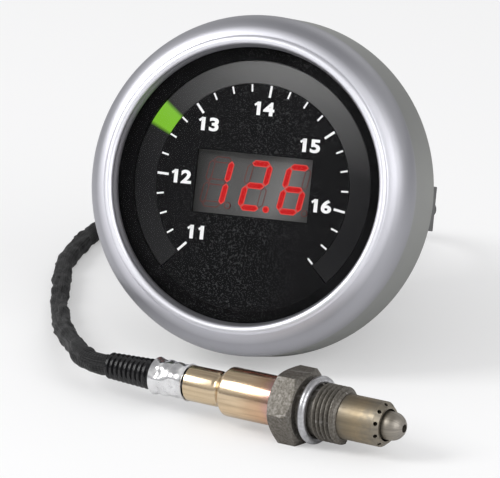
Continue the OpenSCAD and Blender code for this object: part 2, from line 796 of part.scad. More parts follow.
module inner_tube() {
    dome_z = tip_z - inner_tube_d / 2;
    color([0.6, 0.57, 0.52]) on_sensor() difference() {
        rotate_extrude() intersection() {
            union() {
                translate([0, tube_seat_z]) square([inner_tube_d / 2, dome_z - tube_seat_z]);
                translate([0, dome_z]) circle(d = inner_tube_d);
                translate([0, tube_seat_z]) square([body_bore_r - seat_gap, shell_wall]);
            }
            square([tube_d, tip_z]);
        }
        disc(inner_tube_d / 2 - shell_wall, tube_seat_z - overrun, dome_z);
        disc(tip_hole_r, thread_end, tip_z + overrun);
    }
}

module sensing_element() {
    color([0.92, 0.92, 0.9]) on_sensor()
        block(element_w, element_h, lower_shell_z, tip_z - inner_tube_d / 2 - shell_wall);
}

module packed_ring(z_low, z_high) {
    difference() {
        disc(body_bore_r - seat_gap, z_low, z_high);
        block(element_w + 2 * seat_gap, element_h + 2 * seat_gap, z_low - overrun, z_high + overrun);
    }
}

module lower_insulator() {
    color([0.9, 0.88, 0.84]) on_sensor() packed_ring(lower_ring_z, tube_seat_z);
}

module powder_seal() {
    color([0.8, 0.8, 0.76]) on_sensor() packed_ring(powder_z, lower_ring_z);
}

module upper_insulator() {
    color([0.9, 0.88, 0.84]) on_sensor() packed_ring(shell_seat_z, powder_z);
}

module lower_shell() {
    outer = lower_shell_d / 2;
    neck = upper_shell_d / 2;
    color([0.78, 0.6, 0.4]) on_sensor() rotate_extrude() polygon([[outer - shell_wall, shell_seat_z],
        [outer, shell_seat_z], [outer, lower_shell_z + shell_step], [neck + shell_wall, lower_shell_z + shell_wall],
        [neck + turning_gap, lower_shell_z], [neck + turning_gap, lower_shell_z + 2 * shell_wall],
        [outer - shell_wall, lower_shell_z + shell_step + shell_wall]]);
}

// The upper shell starts inside the lower one and has a rolled groove just behind it
module upper_shell() {
    outer = upper_shell_d / 2;
    color([0.82, 0.68, 0.45]) on_sensor() rotate_extrude() polygon(concat(
        [[outer - shell_wall, lower_shell_z + shell_step], [outer, lower_shell_z + shell_step]],
        [[outer, lower_shell_z], [groove_r, lower_shell_z - groove_half / 2],
            [groove_r, lower_shell_z - groove_half * 1.5], [outer, lower_shell_z - groove_half * 2]],
        [[outer, upper_shell_z], [outer - shell_wall, upper_shell_z]],
        [[outer - shell_wall, lower_shell_z - groove_half * 2 - shell_wall],
            [groove_r - shell_wall, lower_shell_z - groove_half * 1.5 - shell_wall],
            [groove_r - shell_wall, lower_shell_z - groove_half / 2 + shell_wall],
            [outer - shell_wall, lower_shell_z + shell_wall]]));
}

module contact_holder() {
    color([0.88, 0.86, 0.8]) on_sensor()
        disc(holder_r, upper_shell_z + holder_share * upper_shell_len, lower_shell_z - seat_gap);
}

module crimp_ferrule() {
    dent_pitch = ferrule_len / len(crimp_depths);
    color([0.8, 0.8, 0.82]) on_sensor() rotate_extrude() polygon(concat(
        [[ferrule_bore_r, ferrule_z]],
        [for (i = [0 : len(crimp_depths) - 1]) [ferrule_r - crimp_depths[i], ferrule_z + i * dent_pitch]],
        [[ferrule_r, upper_shell_z - ferrule_lap], [upper_shell_d / 2 + turning_gap, upper_shell_z - ferrule_lap],
            [ferrule_bore_r, upper_shell_z - 2 * ferrule_lap]]));
}

module wire_grommet() {
    color([0.15, 0.15, 0.15]) on_sensor() difference() {
        disc(ferrule_bore_r - seat_gap, ferrule_z + 2 * ferrule_lap, upper_shell_z - 2 * ferrule_lap);
        around([0, 90, 180, 270], wire_circle_r) disc(wire_r + seat_gap / 2, ferrule_z, upper_shell_z);
    }
}

module sensor_wires() {
    color([0.75, 0.75, 0.78]) on_sensor() around([0, 90, 180, 270], wire_circle_r)
        disc(wire_r, ferrule_z + 2 * ferrule_lap, upper_shell_z + holder_share * upper_shell_len);
}

module ribbed_boot() {
    color([0.06, 0.06, 0.06]) on_sensor() rotate_extrude() polygon(concat(
        [[boot_bore_r, boot_z], [boot_small_r - rib_depth, boot_z]],
        [for (i = [0 : boot_ribs - 1], k = [0 : len(rib_shares) - 1]) rib_point(i, k)],
        [[boot_big_r - rib_depth, ferrule_z - seat_gap], [boot_big_r, ferrule_z - seat_gap],
            [boot_big_r, ferrule_z], [boot_bore_r, ferrule_z]]));
}

// Each rib rises, runs level and falls within one pitch
function rib_point(i, k) = let (z = boot_z + (i + rib_shares[k]) * boot_pitch,
    top = boot_small_r + boot_taper * i / boot_ribs)
    [top - (k == 0 || k == len(rib_shares) - 1 ? rib_depth : 0), z];

// Lead

// A tube swept along points: each ring stands square to the way through its point
function unit(v) = v / norm(v);
function way(points, i) = unit(points[min(i + 1, len(points) - 1)] - points[max(i - 1, 0)]);
function ring_at(p, d, r, sides) = let (side = unit(cross(d, [0, 0, 1])), up = cross(side, d))
    [for (k = [0 : sides - 1]) p + r * (cos(360 * (k + 0.5) / sides) * side + sin(360 * (k + 0.5) / sides) * up)];

module tube(points, r, sides) {
    n = len(points);
    rings = [for (i = [0 : n - 1]) each ring_at(points[i], way(points, i), r / cos(180 / sides), sides)];
    walls = [for (i = [0 : n - 2], k = [0 : sides - 1]) let (a = i * sides + k, b = i * sides + (k + 1) % sides)
        each [[a, a + sides, b], [b, a + sides, b + sides]]];
    caps = [[for (k = [0 : sides - 1]) k], [for (k = [sides - 1 : -1 : 0]) (n - 1) * sides + k]];
    polyhedron(rings, concat(walls, caps));
}

module sensor_lead() {
    color([0.1, 0.1, 0.1]) tube(sensor_lead_points, lead_r, lead_sides);
}

module plug_lead() {
    color([0.1, 0.1, 0.1]) tube(plug_lead_points, lead_r, lead_sides);
}

module lead_coil() {
    color([0.1, 0.1, 0.1]) tube(coil_points, lead_r, lead_sides);
}

// The tie goes round all runs of the coil at one place
module coil_tie() {
    runs = [for (i = [0 : coil_turns - 1]) run_r(i + (tie_angle - 90) / 360)];
    in_w = max(runs) - min(runs) + lead_d + coil_gap;
    in_h = coil_high + lead_r + tie_gap - tie_t;
    color([0.05, 0.05, 0.05]) translate([coil_x, coil_y, 0]) rotate([0, 0, tie_angle])
        translate([(max(runs) + min(runs)) / 2, 0, 0]) rotate([90, 0, 0]) translate([0, 0, -lead_r])
            linear_extrude(lead_d) difference() {
                translate([-in_w / 2 - tie_t, 0]) square([in_w + 2 * tie_t, in_h + 2 * tie_t]);
                translate([-in_w / 2, tie_t]) square([in_w, in_h]);
            }
}

module lead_plug() {
    color([0.09, 0.09, 0.1]) on_gauge() translate([socket_x, socket_y, 0]) difference() {
        union() {
            block(sensor_socket_w - 2 * (socket_wall + seat_gap), socket_h - 2 * (socket_wall + seat_gap),
                plug_start - overrun, plug_tip_z);
            block(sensor_socket_w + 2 * seat_gap, socket_h + 2 * seat_gap, plug_body_z, plug_start);
            translate([0, socket_h / 2, 0]) block(latch_w_share * sensor_socket_w, latch_h_share * socket_h,
                plug_start - latch_len_share * plug_len, plug_start);
            disc(plug_neck_r, plug_seal_z, plug_body_z + overrun);
        }
        pins_of(sensor_socket_w) block(pin_size + 2 * pin_play, pin_size + 2 * pin_play,
            cavity_end - pin_reach - pin_play, plug_tip_z + overrun);
    }
}

module plug_seal() {
    color([0.05, 0.05, 0.05]) on_gauge() translate([socket_x, socket_y, 0]) rotate_extrude()
        polygon([[0, plug_end], [lead_r + seal_lip, plug_end], [plug_neck_r, plug_seal_z], [0, plug_seal_z]]);
}

bezel();
lens();
lens_gasket();
spacer_ring();
faceplate();
arc_window();
display_window();
display_block();
digit_segments();
light_baffle();
arc_leds();
led_board();
board_header();
header_pins();
board_pillars();
main_board();
control_chips();
capacitors();
cup();
case_screws();
sensor_socket();
power_socket();
sensor_pins();
power_pins();
selector_switch();
selector_rotor();
bracket_studs();
hex_body();
sealing_washer();
outer_tube();
inner_tube();
sensing_element();
lower_insulator();
powder_seal();
upper_insulator();
lower_shell();
upper_shell();
contact_holder();
crimp_ferrule();
wire_grommet();
sensor_wires();
ribbed_boot();
sensor_lead();
lead_coil();
coil_tie();
plug_lead();
lead_plug();
plug_seal();
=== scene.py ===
"""Looks of the air fuel ratio gauge, its exhaust gas sensor and the lead between them.

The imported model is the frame. Each sub-assembly is a class that holds its sizes in millimetres, in
its own axes, and puts its finished meshes where the frame's nodes are. The gauge's axes are x right,
y up and z towards the driver with the dial face at z = 0. The sensor's z runs along it towards the
tip, with the front face of the hexagon at z = 0.
"""

import json
import logging
import math
from dataclasses import dataclass
from enum import Enum
from typing import Callable, Optional, Sequence

import bpy
from mathutils import Euler, Matrix, Vector, noise

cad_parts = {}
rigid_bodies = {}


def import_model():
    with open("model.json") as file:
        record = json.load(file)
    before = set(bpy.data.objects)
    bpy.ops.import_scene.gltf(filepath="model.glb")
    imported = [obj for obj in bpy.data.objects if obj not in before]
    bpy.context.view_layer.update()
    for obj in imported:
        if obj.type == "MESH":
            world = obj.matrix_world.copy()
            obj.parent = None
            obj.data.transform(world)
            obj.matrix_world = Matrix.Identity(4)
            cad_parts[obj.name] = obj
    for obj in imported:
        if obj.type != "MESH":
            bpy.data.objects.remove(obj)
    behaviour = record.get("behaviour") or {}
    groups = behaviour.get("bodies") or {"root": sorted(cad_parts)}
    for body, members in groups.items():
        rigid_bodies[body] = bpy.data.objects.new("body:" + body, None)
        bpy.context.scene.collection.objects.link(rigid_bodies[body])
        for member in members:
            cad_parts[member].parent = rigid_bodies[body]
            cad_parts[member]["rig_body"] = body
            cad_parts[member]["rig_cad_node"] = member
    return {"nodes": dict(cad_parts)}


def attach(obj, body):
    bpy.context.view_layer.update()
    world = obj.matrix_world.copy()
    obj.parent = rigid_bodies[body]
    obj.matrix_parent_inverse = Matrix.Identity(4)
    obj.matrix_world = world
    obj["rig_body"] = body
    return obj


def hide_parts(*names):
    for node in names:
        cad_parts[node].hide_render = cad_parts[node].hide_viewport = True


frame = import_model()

LOG = logging.getLogger("gauge")
MM = 0.001
# Points of a mesh in millimetres, or of a node's copy in metres, that lie closer than this are one.
WELD_MM = 1e-4
WELD_M = 1e-6

Point = tuple[float, float, float]
Colour = tuple[float, float, float]
Ring = tuple[float, float]
Stops = tuple[tuple[float, Colour], ...]
Piece = bpy.types.Object
Node = bpy.types.Node
Outputs = bpy.types.NodeOutputs
Socket = bpy.types.NodeSocket


@dataclass(frozen=True)
class Seat:
    """Where a sub-assembly's own axes stand in the row frame.

    Args:
        origin: the place of its zero point, in millimetres.
        turn: its turns about X, Y and Z, in degrees.
    """

    origin: Point
    turn: Point

    def angles(self) -> Euler:
        """Returns the turns as an Euler in radians."""
        return Euler([math.radians(a) for a in self.turn], "XYZ")

    def matrix(self) -> Matrix:
        """Returns the matrix from the sub-assembly's metres to the row frame."""
        return Matrix.Translation(Vector(self.origin) * MM) @ self.angles().to_matrix().to_4x4()

    def put(self, piece: Piece) -> Piece:
        """Moves a piece modelled in millimetres to its place, and bakes the place into its mesh.

        Args:
            piece: the piece, modelled round its own zero point.

        Returns:
            The same piece, with its object at the origin.
        """
        piece.matrix_world = self.matrix() @ Matrix.Scale(MM, 4)
        Bench.take(piece)
        Bench.bake()
        return piece


class Bench:
    """The moves that shape a mesh, made one at a time as by hand."""

    @staticmethod
    def leave() -> None:
        """Leaves edit mode."""
        if bpy.context.mode != "OBJECT":
            bpy.ops.object.mode_set(mode="OBJECT")

    @staticmethod
    def clear() -> None:
        """Leaves edit mode and deselects everything."""
        Bench.leave()
        bpy.ops.object.select_all(action="DESELECT")

    @staticmethod
    def take(piece: Piece) -> Piece:
        """Makes a piece the only selected and active one.

        Args:
            piece: the piece.

        Returns:
            The same piece.
        """
        Bench.clear()
        piece.select_set(True)
        bpy.context.view_layer.objects.active = piece
        return piece

    @staticmethod
    def edit(piece: Piece) -> None:
        """Takes a piece into edit mode."""
        Bench.take(piece)
        bpy.ops.object.mode_set(mode="EDIT")

    @staticmethod
    def named(name: str) -> Piece:
        """Leaves edit mode, and names the active piece and its mesh.

        Args:
            name: the new name.

        Returns:
            The active piece.
        """
        Bench.leave()
        piece = bpy.context.active_object
        piece.name = name
        piece.data.name = name
        return piece

    @staticmethod
    def link(piece: Piece) -> Piece:
        """Puts a new object into the scene, and returns it."""
        bpy.context.scene.collection.objects.link(piece)
        return piece

    @staticmethod
    def bake() -> None:
        """Moves the selected object's place, turn and size into its mesh."""
        bpy.ops.object.transform_apply(location=True, rotation=True, scale=True)

    @staticmethod
    def all_on() -> None:
        """Selects the whole mesh in edit mode."""
        bpy.ops.mesh.select_all(action="SELECT")

    @staticmethod
    def weld(distance: float = WELD_MM) -> None:
        """Selects the whole mesh in edit mode, and merges points closer than a distance."""
        Bench.all_on()
        bpy.ops.mesh.remove_doubles(threshold=distance)

    @staticmethod
    def outward() -> None:
        """Turns every face of the mesh in edit mode outwards."""
        Bench.all_on()
        bpy.ops.mesh.normals_make_consistent(inside=False)

    @staticmethod
    def chain(points: Sequence[Point]) -> None:
        """Starts a mesh in edit mode as a closed chain of edges.

        Args:
            points: its points in order; the last one joins the first.
        """
        Bench.clear()
        bpy.ops.mesh.primitive_plane_add(size=1.0, enter_editmode=True)
        bpy.ops.mesh.select_mode(type="VERT")
        Bench.all_on()
        bpy.ops.mesh.merge(type="CENTER")
        bpy.ops.transform.translate(value=points[0])
        for last, point in zip(points, [*points[1:], points[0]]):
            step = tuple(b - a for a, b in zip(last, point))
            bpy.ops.mesh.extrude_vertices_move(TRANSFORM_OT_translate={"value": step})
        Bench.weld()

    @staticmethod
    def turned(name: str, profile: Sequence[Ring], steps: int = 96) -> Piece:
        """Turns a closed profile about the Z axis, as on a lathe.

        Args:
            name: the name of the new piece.
            profile: its (radius, height) points in order, in millimetres; the last joins the first.
            steps: the number of faces round the axis.

        Returns:
            The new piece, with its normals outwards.
        """
        Bench.chain([(radius, 0.0, height) for radius, height in profile])
        bpy.ops.mesh.spin(steps=steps, angle=math.tau, center=(0, 0, 0), axis=(0, 0, 1))
        Bench.weld()
        Bench.outward()
        return Bench.named(name)

    @staticmethod
    def block(name: str, centre: Point, size: Point, turn: float = 0.0) -> Piece:
        """Adds a block.

        Args:
            name: the name of the new piece.
            centre: the place of its middle.
            size: its size along its own axes.
            turn: its turn about Z, in radians.

        Returns:
            The new piece.
        """
        Bench.clear()
        bpy.ops.mesh.primitive_cube_add(size=1.0, location=centre, rotation=(0.0, 0.0, turn), scale=size)
        Bench.bake()
        return Bench.named(name)

    @staticmethod
    def modify(piece: Piece, kind: str, **settings: object) -> Piece:
        """Adds a modifier to a piece and applies it.

        Args:
            piece: the piece.
            kind: the modifier's type.
            settings: the modifier's own settings, by name.

        Returns:
            The same piece.
        """
        Bench.take(piece)
        modifier = piece.modifiers.new(kind.lower(), kind)
        for key, value in settings.items():
            setattr(modifier, key, value)
        bpy.ops.object.modifier_apply(modifier=modifier.name)
        return piece

    @staticmethod
    def ease(piece: Piece, width: float, segments: int = 2, over: float = 35.0) -> Piece:
        """Rounds the edges of a piece that are sharper than an angle.

        Args:
            piece: the piece.
            width: the width of the rounding, in the piece's own units.
            segments: the faces across the rounding.
            over: the angle in degrees above which an edge is rounded.

        Returns:
            The same piece.
        """
        return Bench.modify(piece, "BEVEL", width=width, segments=segments, limit_method="ANGLE",
                            angle_limit=math.radians(over))

    @staticmethod
    def smooth(piece: Piece, angle: float = 32.0) -> Piece:
        """Shades a piece smooth, except across sharp edges.

        Args:
            piece: the piece.
            angle: the angle in degrees above which an edge stays sharp.

        Returns:
            The same piece.
        """
        Bench.take(piece)
        bpy.ops.object.shade_smooth_by_angle(angle=math.radians(angle))
        return piece

    @staticmethod
    def joined(name: str, pieces: Sequence[Piece]) -> Piece:
        """Joins pieces into one.

        Args:
            name: the name of the joined piece.
            pieces: the pieces.

        Returns:
            The joined piece.
        """
        Bench.clear()
        for piece in pieces:
            piece.select_set(True)
        bpy.context.view_layer.objects.active = pieces[0]
        bpy.ops.object.join()
        return Bench.named(name)

    @staticmethod
    def eased_copy(name: str, node: str, width: float, segments: int = 2) -> Piece:
        """Copies a node's solid, merges its loose triangles into whole faces and rounds its edges.

        Args:
            name: the name of the new piece.
            node: the node whose form is kept.
            width: the width of the rounding, in millimetres.
            segments: the faces across the rounding.

        Returns:
            The new piece, which stays where the node is.
        """
        flat_within = 0.6
        piece = frame["nodes"][node].copy()
        piece.data = piece.data.copy()
        piece.parent = None
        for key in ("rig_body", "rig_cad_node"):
            if key in piece:
                del piece[key]
        Bench.edit(Bench.link(piece))
        Bench.weld(WELD_M)
        bpy.ops.mesh.customdata_custom_splitnormals_clear()
        bpy.ops.mesh.dissolve_limited(angle_limit=math.radians(flat_within))
        Bench.named(name)
        return Bench.smooth(Bench.ease(piece, width * MM, segments))


class Tree:
    """A node tree with short ways to add nodes and join them."""

    def __init__(self, tree: bpy.types.NodeTree) -> None:
        """Keeps the tree that the nodes go into."""
        self.tree = tree

    def add(self, kind: str, **inputs: object) -> Node:
        """Adds a node and fills its inputs.

        Args:
            kind: the node's type, without its ShaderNode prefix.
            inputs: values or sockets by input name, with _ for a space; names in lower case are
                the node's own settings.

        Returns:
            The new node.
        """
        node = self.tree.nodes.new("ShaderNode" + kind)
        for key, value in inputs.items():
            if key[0].islower():
                setattr(node, key, value)
            else:
                self.feed(node.inputs[key.replace("_", " ")], value)
        return node

    def feed(self, target: Socket, value: object) -> None:
        """Joins a socket to an input, or sets the input to a plain value.

        Args:
            target: the input.
            value: a socket, a number, or a colour without its alpha.
        """
        if isinstance(value, Socket):
            self.tree.links.new(value, target)
        elif isinstance(value, tuple) and len(value) == 3 and target.type == "RGBA":
            target.default_value = (*value, 1.0)
        else:
            target.default_value = value

    def math(self, operation: str, *values: object) -> Socket:
        """Adds a math node.

        Args:
            operation: what it works out.
            values: one to three numbers or sockets.

        Returns:
            The result's socket.
        """
        node = self.add("Math", operation=operation)
        for slot, value in zip(node.inputs, values):
            self.feed(slot, value)
        return node.outputs[0]

    def plus(self, first: object, second: object) -> Socket:
        """Returns a sum."""
        return self.math("ADD", first, second)

    def less(self, first: object, second: object) -> Socket:
        """Returns a difference."""
        return self.math("SUBTRACT", first, second)

    def times(self, first: object, second: object) -> Socket:
        """Returns a product."""
        return self.math("MULTIPLY", first, second)

    def over(self, first: object, second: object) -> Socket:
        """Returns a quotient."""
        return self.math("DIVIDE", first, second)

    def mix(self, factor: object, first: object, second: object) -> Socket:
        """Adds a colour mix.

        Args:
            factor: the share of the second colour.
            first: the first colour.
            second: the second colour.

        Returns:
            The mixed colour's socket.
        """
        node = self.add("Mix", data_type="RGBA")
        for slot, value in ((0, factor), (6, first), (7, second)):
            self.feed(node.inputs[slot], value)
        return node.outputs[2]

    def ramp(self, factor: object, stops: Stops) -> Socket:
        """Adds a colour ramp.

        Args:
            factor: the place on the ramp, from 0 to 1.
            stops: two or more places with their colours.

        Returns:
            The colour's socket.
        """
        node = self.add("ValToRGB")
        self.feed(node.inputs[0], factor)
        points = node.color_ramp.elements
        while len(points) < len(stops):
            points.new(0.5)
        for point, (place, colour) in zip(points, stops):
            point.position = place
            point.color = (*colour, 1.0)
        return node.outputs[0]

    def along(self, value: Socket, stops: Stops) -> Socket:
        """Adds a colour ramp whose stops stand at places of their own.

        Args:
            value: the place, in the units of the stops.
            stops: two or more places with their colours.

        Returns:
            The colour's socket.
        """
        low, high = stops[0][0], stops[-1][0]
        return self.ramp(self.between(value, low, high),
                         tuple(((place - low) / (high - low), colour) for place, colour in stops))

    def between(self, value: object, low: float, high: float, out_low: float = 0.0,
                out_high: float = 1.0) -> Socket:
        """Maps a value from one range to another, with its ends held.

        Args:
            value: the value.
            low: the value that gives out_low.
            high: the value that gives out_high.
            out_low: the result at the low end.
            out_high: the result at the high end.

        Returns:
            The result's socket.
        """
        node = self.add("MapRange", Value=value, From_Min=low, From_Max=high, To_Min=out_low, To_Max=out_high)
        return node.outputs[0]

    def noise(self, place: Socket, across: float, detail: float = 2.0) -> Socket:
        """Adds noise.

        Args:
            place: the place, in metres.
            across: the width of its patches, in millimetres.
            detail: the number of finer layers.

        Returns:
            The noise's value.
        """
        return self.add("TexNoise", Vector=place, Scale=1.0 / (across * MM), Detail=detail).outputs[0]


GAUGE_LEAN = 17.2943
GAUGE_SEAT = Seat((-7.0, -2.0, 31.9732), (90.0 - GAUGE_LEAN, 0.0, 0.0))
SENSOR_SEAT = Seat((17.5, -40.9, 6.0), (0.0, 90.0, -14.0))


def even(shade: float) -> Colour:
    """Returns a grey of one shade."""
    return shade, shade, shade


class Patterns:
    """The shader groups that several finishes share, each built once."""

    made: dict[str, bpy.types.NodeTree] = {}

    @classmethod
    def group(cls, name: str, inputs: Sequence[tuple[str, str]], outputs: Sequence[str],
              fill: Callable[[Tree, Outputs], Sequence[Socket]]) -> bpy.types.NodeTree:
        """Builds a shader group, or returns it if it is there.

        Args:
            name: the group's name.
            inputs: the name and kind of each input.
            outputs: the name of each output, all plain numbers.
            fill: a function that takes the group's inputs and returns what goes to its outputs.

        Returns:
            The group's node tree.
        """
        if name not in cls.made:
            tree = bpy.data.node_groups.new(name, "ShaderNodeTree")
            for label, kind in inputs:
                tree.interface.new_socket(name=label, in_out="INPUT", socket_type="NodeSocket" + kind)
            for label in outputs:
                tree.interface.new_socket(name=label, in_out="OUTPUT", socket_type="NodeSocketFloat")
            source = tree.nodes.new("NodeGroupInput")
            result = tree.nodes.new("NodeGroupOutput")
            group = Tree(tree)
            for slot, value in zip(result.inputs, fill(group, source.outputs)):
                group.feed(slot, value)
            cls.made[name] = tree
        return cls.made[name]

    @classmethod
    def axes(cls, name: str, seat: Seat) -> bpy.types.NodeTree:
        """Gives the group that finds a point's place in a sub-assembly's own axes.

        Args:
            name: the group's name.
            seat: where those axes stand.

        Returns:
            The group, which puts out X, Y, Z and Radius in millimetres and Angle in degrees.
        """

        def fill(tree: Tree, source: Outputs) -> Sequence[Socket]:
            """Turns the place back by the seat, and measures it.

            Args:
                tree: the group's tree.
                source: the place, in metres.

            Returns:
                The three places, the distance from Z and the angle round it.
            """
            own = tree.add("Mapping", vector_type="TEXTURE", Vector=source[0])
            own.inputs["Location"].default_value = Vector(seat.origin) * MM
            own.inputs["Rotation"].default_value = seat.angles()
            scaled = tree.add("VectorMath", operation="SCALE", Vector=own.outputs[0], Scale=1.0 / MM)
            x, y, z = tree.add("SeparateXYZ", Vector=scaled.outputs[0]).outputs
            radius = tree.math("SQRT", tree.plus(tree.times(x, x), tree.times(y, y)))
            return x, y, z, radius, tree.math("DEGREES", tree.math("ARCTAN2", y, x))

        return cls.group(name, [("Vector", "Vector")], ("X", "Y", "Z", "Radius", "Angle"), fill)

    @classmethod
    def marks(cls) -> bpy.types.NodeTree:
        """Gives the group of a surface's soft patches, its fine grain and its few thin scuffs.

        Returns:
            The group, which takes a place in metres and the widths of a patch and a grain.
        """
        patch_edges, scuff_edges = (0.3, 0.7), (0.68, 0.76)
        patch_detail, grain_detail, scuff_detail = 3.0, 2.0, 1.0
        scuff_turn, scuff_scale = (0.4, 0.9, 0.3), (60.0, 900.0, 900.0)

        def fill(tree: Tree, source: Outputs) -> Sequence[Socket]:
            """Lays the three noises.

            Args:
                tree: the group's tree.
                source: the place in metres, and a patch's and a grain's width in millimetres.

            Returns:
                The patches, the grain and the scuffs.
            """
            place, patch, grain = source[:3]
            patches, fine = (
                tree.add("TexNoise", Vector=place, Scale=tree.over(1.0 / MM, wide), Detail=detail)
                for wide, detail in ((patch, patch_detail), (grain, grain_detail)))
            stretched = tree.add("Mapping", Vector=place)
            stretched.inputs["Rotation"].default_value = scuff_turn
            stretched.inputs["Scale"].default_value = scuff_scale
            scuffs = tree.add("TexNoise", Vector=stretched.outputs[0], Scale=1.0, Detail=scuff_detail)
            return (tree.between(patches.outputs[0], *patch_edges), fine.outputs[0],
                    tree.between(scuffs.outputs[0], *scuff_edges))

        return cls.group("surface marks", [("Vector", "Vector"), ("Patch", "Float"), ("Grain", "Float")],
                         ("Patches", "Grain", "Scuffs"), fill)

    @classmethod
    def weave(cls) -> bpy.types.NodeTree:
        """Gives the group of a braided sleeve's crossing strands.

        Returns:
            The group, which takes U round the sleeve from 0 to 1 and V along it in millimetres.
        """
        crest_edges = (0.2, 0.9)

        def fill(tree: Tree, source: Outputs) -> Sequence[Socket]:
            """Crosses the two lays of strands.

            Args:
                tree: the group's tree.
                source: the UV place, the number of strands and the length of a crossing.

            Returns:
                The strands' height and their crests.
            """
            parts = tree.add("SeparateXYZ", Vector=source[0])
            around = tree.times(parts.outputs[0], source[1])
            along = tree.over(parts.outputs[1], source[2])
            strands = [tree.math("SINE", tree.times(tree.math(way, around, along), math.tau))
                       for way in ("ADD", "SUBTRACT")]
            cross = tree.times(*strands)
            return tree.between(cross, -1.0, 1.0), tree.between(cross, *crest_edges)

        return cls.group("woven strands", [("UV", "Vector"), ("Strands", "Float"), ("Lay", "Float")],
                         ("Height", "Crest"), fill)


class Axes(Enum):
    """The sub-assembly whose own axes a finish follows."""

    GAUGE = "gauge axes"
    SENSOR = "sensor axes"


@dataclass(frozen=True)
class Ground:
    """What a finish paints with: its material's nodes, the place and the marks on the surface.

    Args:
        tree: the material's node tree.
        place: the place on the surface in the row frame, in metres.
        marks: the outputs of the surface marks, Patches, Grain and Scuffs.
    """

    tree: Tree
    place: Socket
    marks: Outputs

    def own(self, axes: Axes) -> Outputs:
        """Returns a point's X, Y, Z, Radius and Angle in a sub-assembly's own axes."""
        seat = GAUGE_SEAT if axes is Axes.GAUGE else SENSOR_SEAT
        return self.tree.add("Group", node_tree=Patterns.axes(axes.value, seat), Vector=self.place).outputs

    def patched(self, share: float) -> Socket:
        """Returns the patches, weakened to a share."""
        return self.tree.times(self.marks["Patches"], share)


@dataclass(frozen=True)
class Finish:
    """A surface of one substance, with soft patches, a fine grain and thin scuffs.

    Args:
        name: the material's name.
        colour: its main colour.
        mottle: the colour of its patches.
        metallic: 1 for bare metal.
        rough: the roughness outside the patches and in them.
        patch: the width of a patch in millimetres.
        grain: the width of a grain in millimetres.
        relief: the depth of the grain in millimetres.
        scuff: how much the scuffs lighten it.
        sheen: how strongly it mirrors; 0.5 is plain plastic.
    """

    name: str
    colour: Colour
    mottle: Colour
    metallic: float = 0.0
    rough: tuple[float, float] = (0.4, 0.55)
    patch: float = 5.0
    grain: float = 0.25
    relief: float = 0.01
    scuff: float = 0.05
    sheen: float = 0.5

    def make(self) -> bpy.types.Material:
        """Builds the material.

        Returns:
            The new material.
        """
        material = bpy.data.materials.new(self.name)
        material.use_nodes = True
        tree = Tree(material.node_tree)
        shader = material.node_tree.nodes["Principled BSDF"]
        place = tree.add("TexCoord").outputs["Object"]
        marks = tree.add("Group", node_tree=Patterns.marks(), Vector=place, Patch=self.patch,
                         Grain=self.grain)
        ground = Ground(tree, place, marks.outputs)
        shader.inputs["Metallic"].default_value = self.metallic
        shader.inputs["Specular IOR Level"].default_value = self.sheen
        tree.feed(shader.inputs["Base Color"], self.paint(ground))
        tree.feed(shader.inputs["Roughness"], tree.between(ground.marks["Patches"], 0.0, 1.0, *self.rough))
        bump = tree.add("Bump", Height=self.height(ground), Strength=1.0, Distance=self.relief * MM)
        tree.feed(shader.inputs["Normal"], bump.outputs[0])
        self.extra(ground, shader)
        return material

    def paint(self, ground: Ground) -> Socket:
        """Gives the base colour: the main colour, its patches and its scuffs.

        Args:
            ground: what the finish paints with.

        Returns:
            The colour's socket.
        """
        scuff_lift = 0.25
        tree = ground.tree
        base = tree.mix(ground.marks["Patches"], self.colour, self.mottle)
        bright = tuple(min(1.0, c + scuff_lift) for c in self.colour)
        return tree.mix(tree.times(ground.marks["Scuffs"], self.scuff), base, bright)

    def height(self, ground: Ground) -> Socket:
        """Returns the height that the bump follows."""
        return ground.marks["Grain"]

    def extra(self, ground: Ground, shader: Node) -> None:
        """Adds what only a special finish has; a plain one has nothing."""


@dataclass(frozen=True)
class Tinted(Finish):
    """A metal with colours that change along the sensor's axis, as heat leaves them.

    Args:
        stops: the colours and their places along the axis, in millimetres.
        streak: how far long streaks round the axis darken it.
        wander: how far the colours stray along the axis, in millimetres.
        patch_share: how far the patches show.
        streak_shade: the streaks' shade, as a share of the patches' colour.
        streak_edges: where a streak starts and is full, in the noise's values.
        streak_scale: the noise's scale for a degree of turn and for a millimetre of length.
        streak_fine: a factor on both.
    """

    stops: Stops = ()
    streak: float = 0.5
    wander: float = 0.8
    patch_share: float = 0.25
    streak_shade: float = 0.45
    streak_edges: Ring = (0.45, 0.75)
    streak_scale: Ring = (0.05, 0.04)
    streak_fine: float = 2.2

    def paint(self, ground: Ground) -> Socket:
        """Gives the colour at a place along the axis, with patches and streaks.

        Args:
            ground: what the finish paints with.

        Returns:
            The colour's socket.
        """
        tree = ground.tree
        _, _, along, _, angle = ground.own(Axes.SENSOR)
        wander = tree.between(ground.marks["Patches"], 0.0, 1.0, -self.wander, self.wander)
        tint = tree.along(tree.plus(along, wander), self.stops)
        lines = tree.add("CombineXYZ", X=tree.times(angle, self.streak_scale[0]),
                         Y=tree.times(along, self.streak_scale[1]))
        streaks = tree.add("TexNoise", Vector=lines.outputs[0], Scale=self.streak_fine, Detail=2.0)
        dark = tree.times(tree.between(streaks.outputs[0], *self.streak_edges), self.streak)
        toned = tree.mix(dark, tint, tuple(c * self.streak_shade for c in self.mottle))
        return tree.mix(ground.patched(self.patch_share), toned, self.mottle)


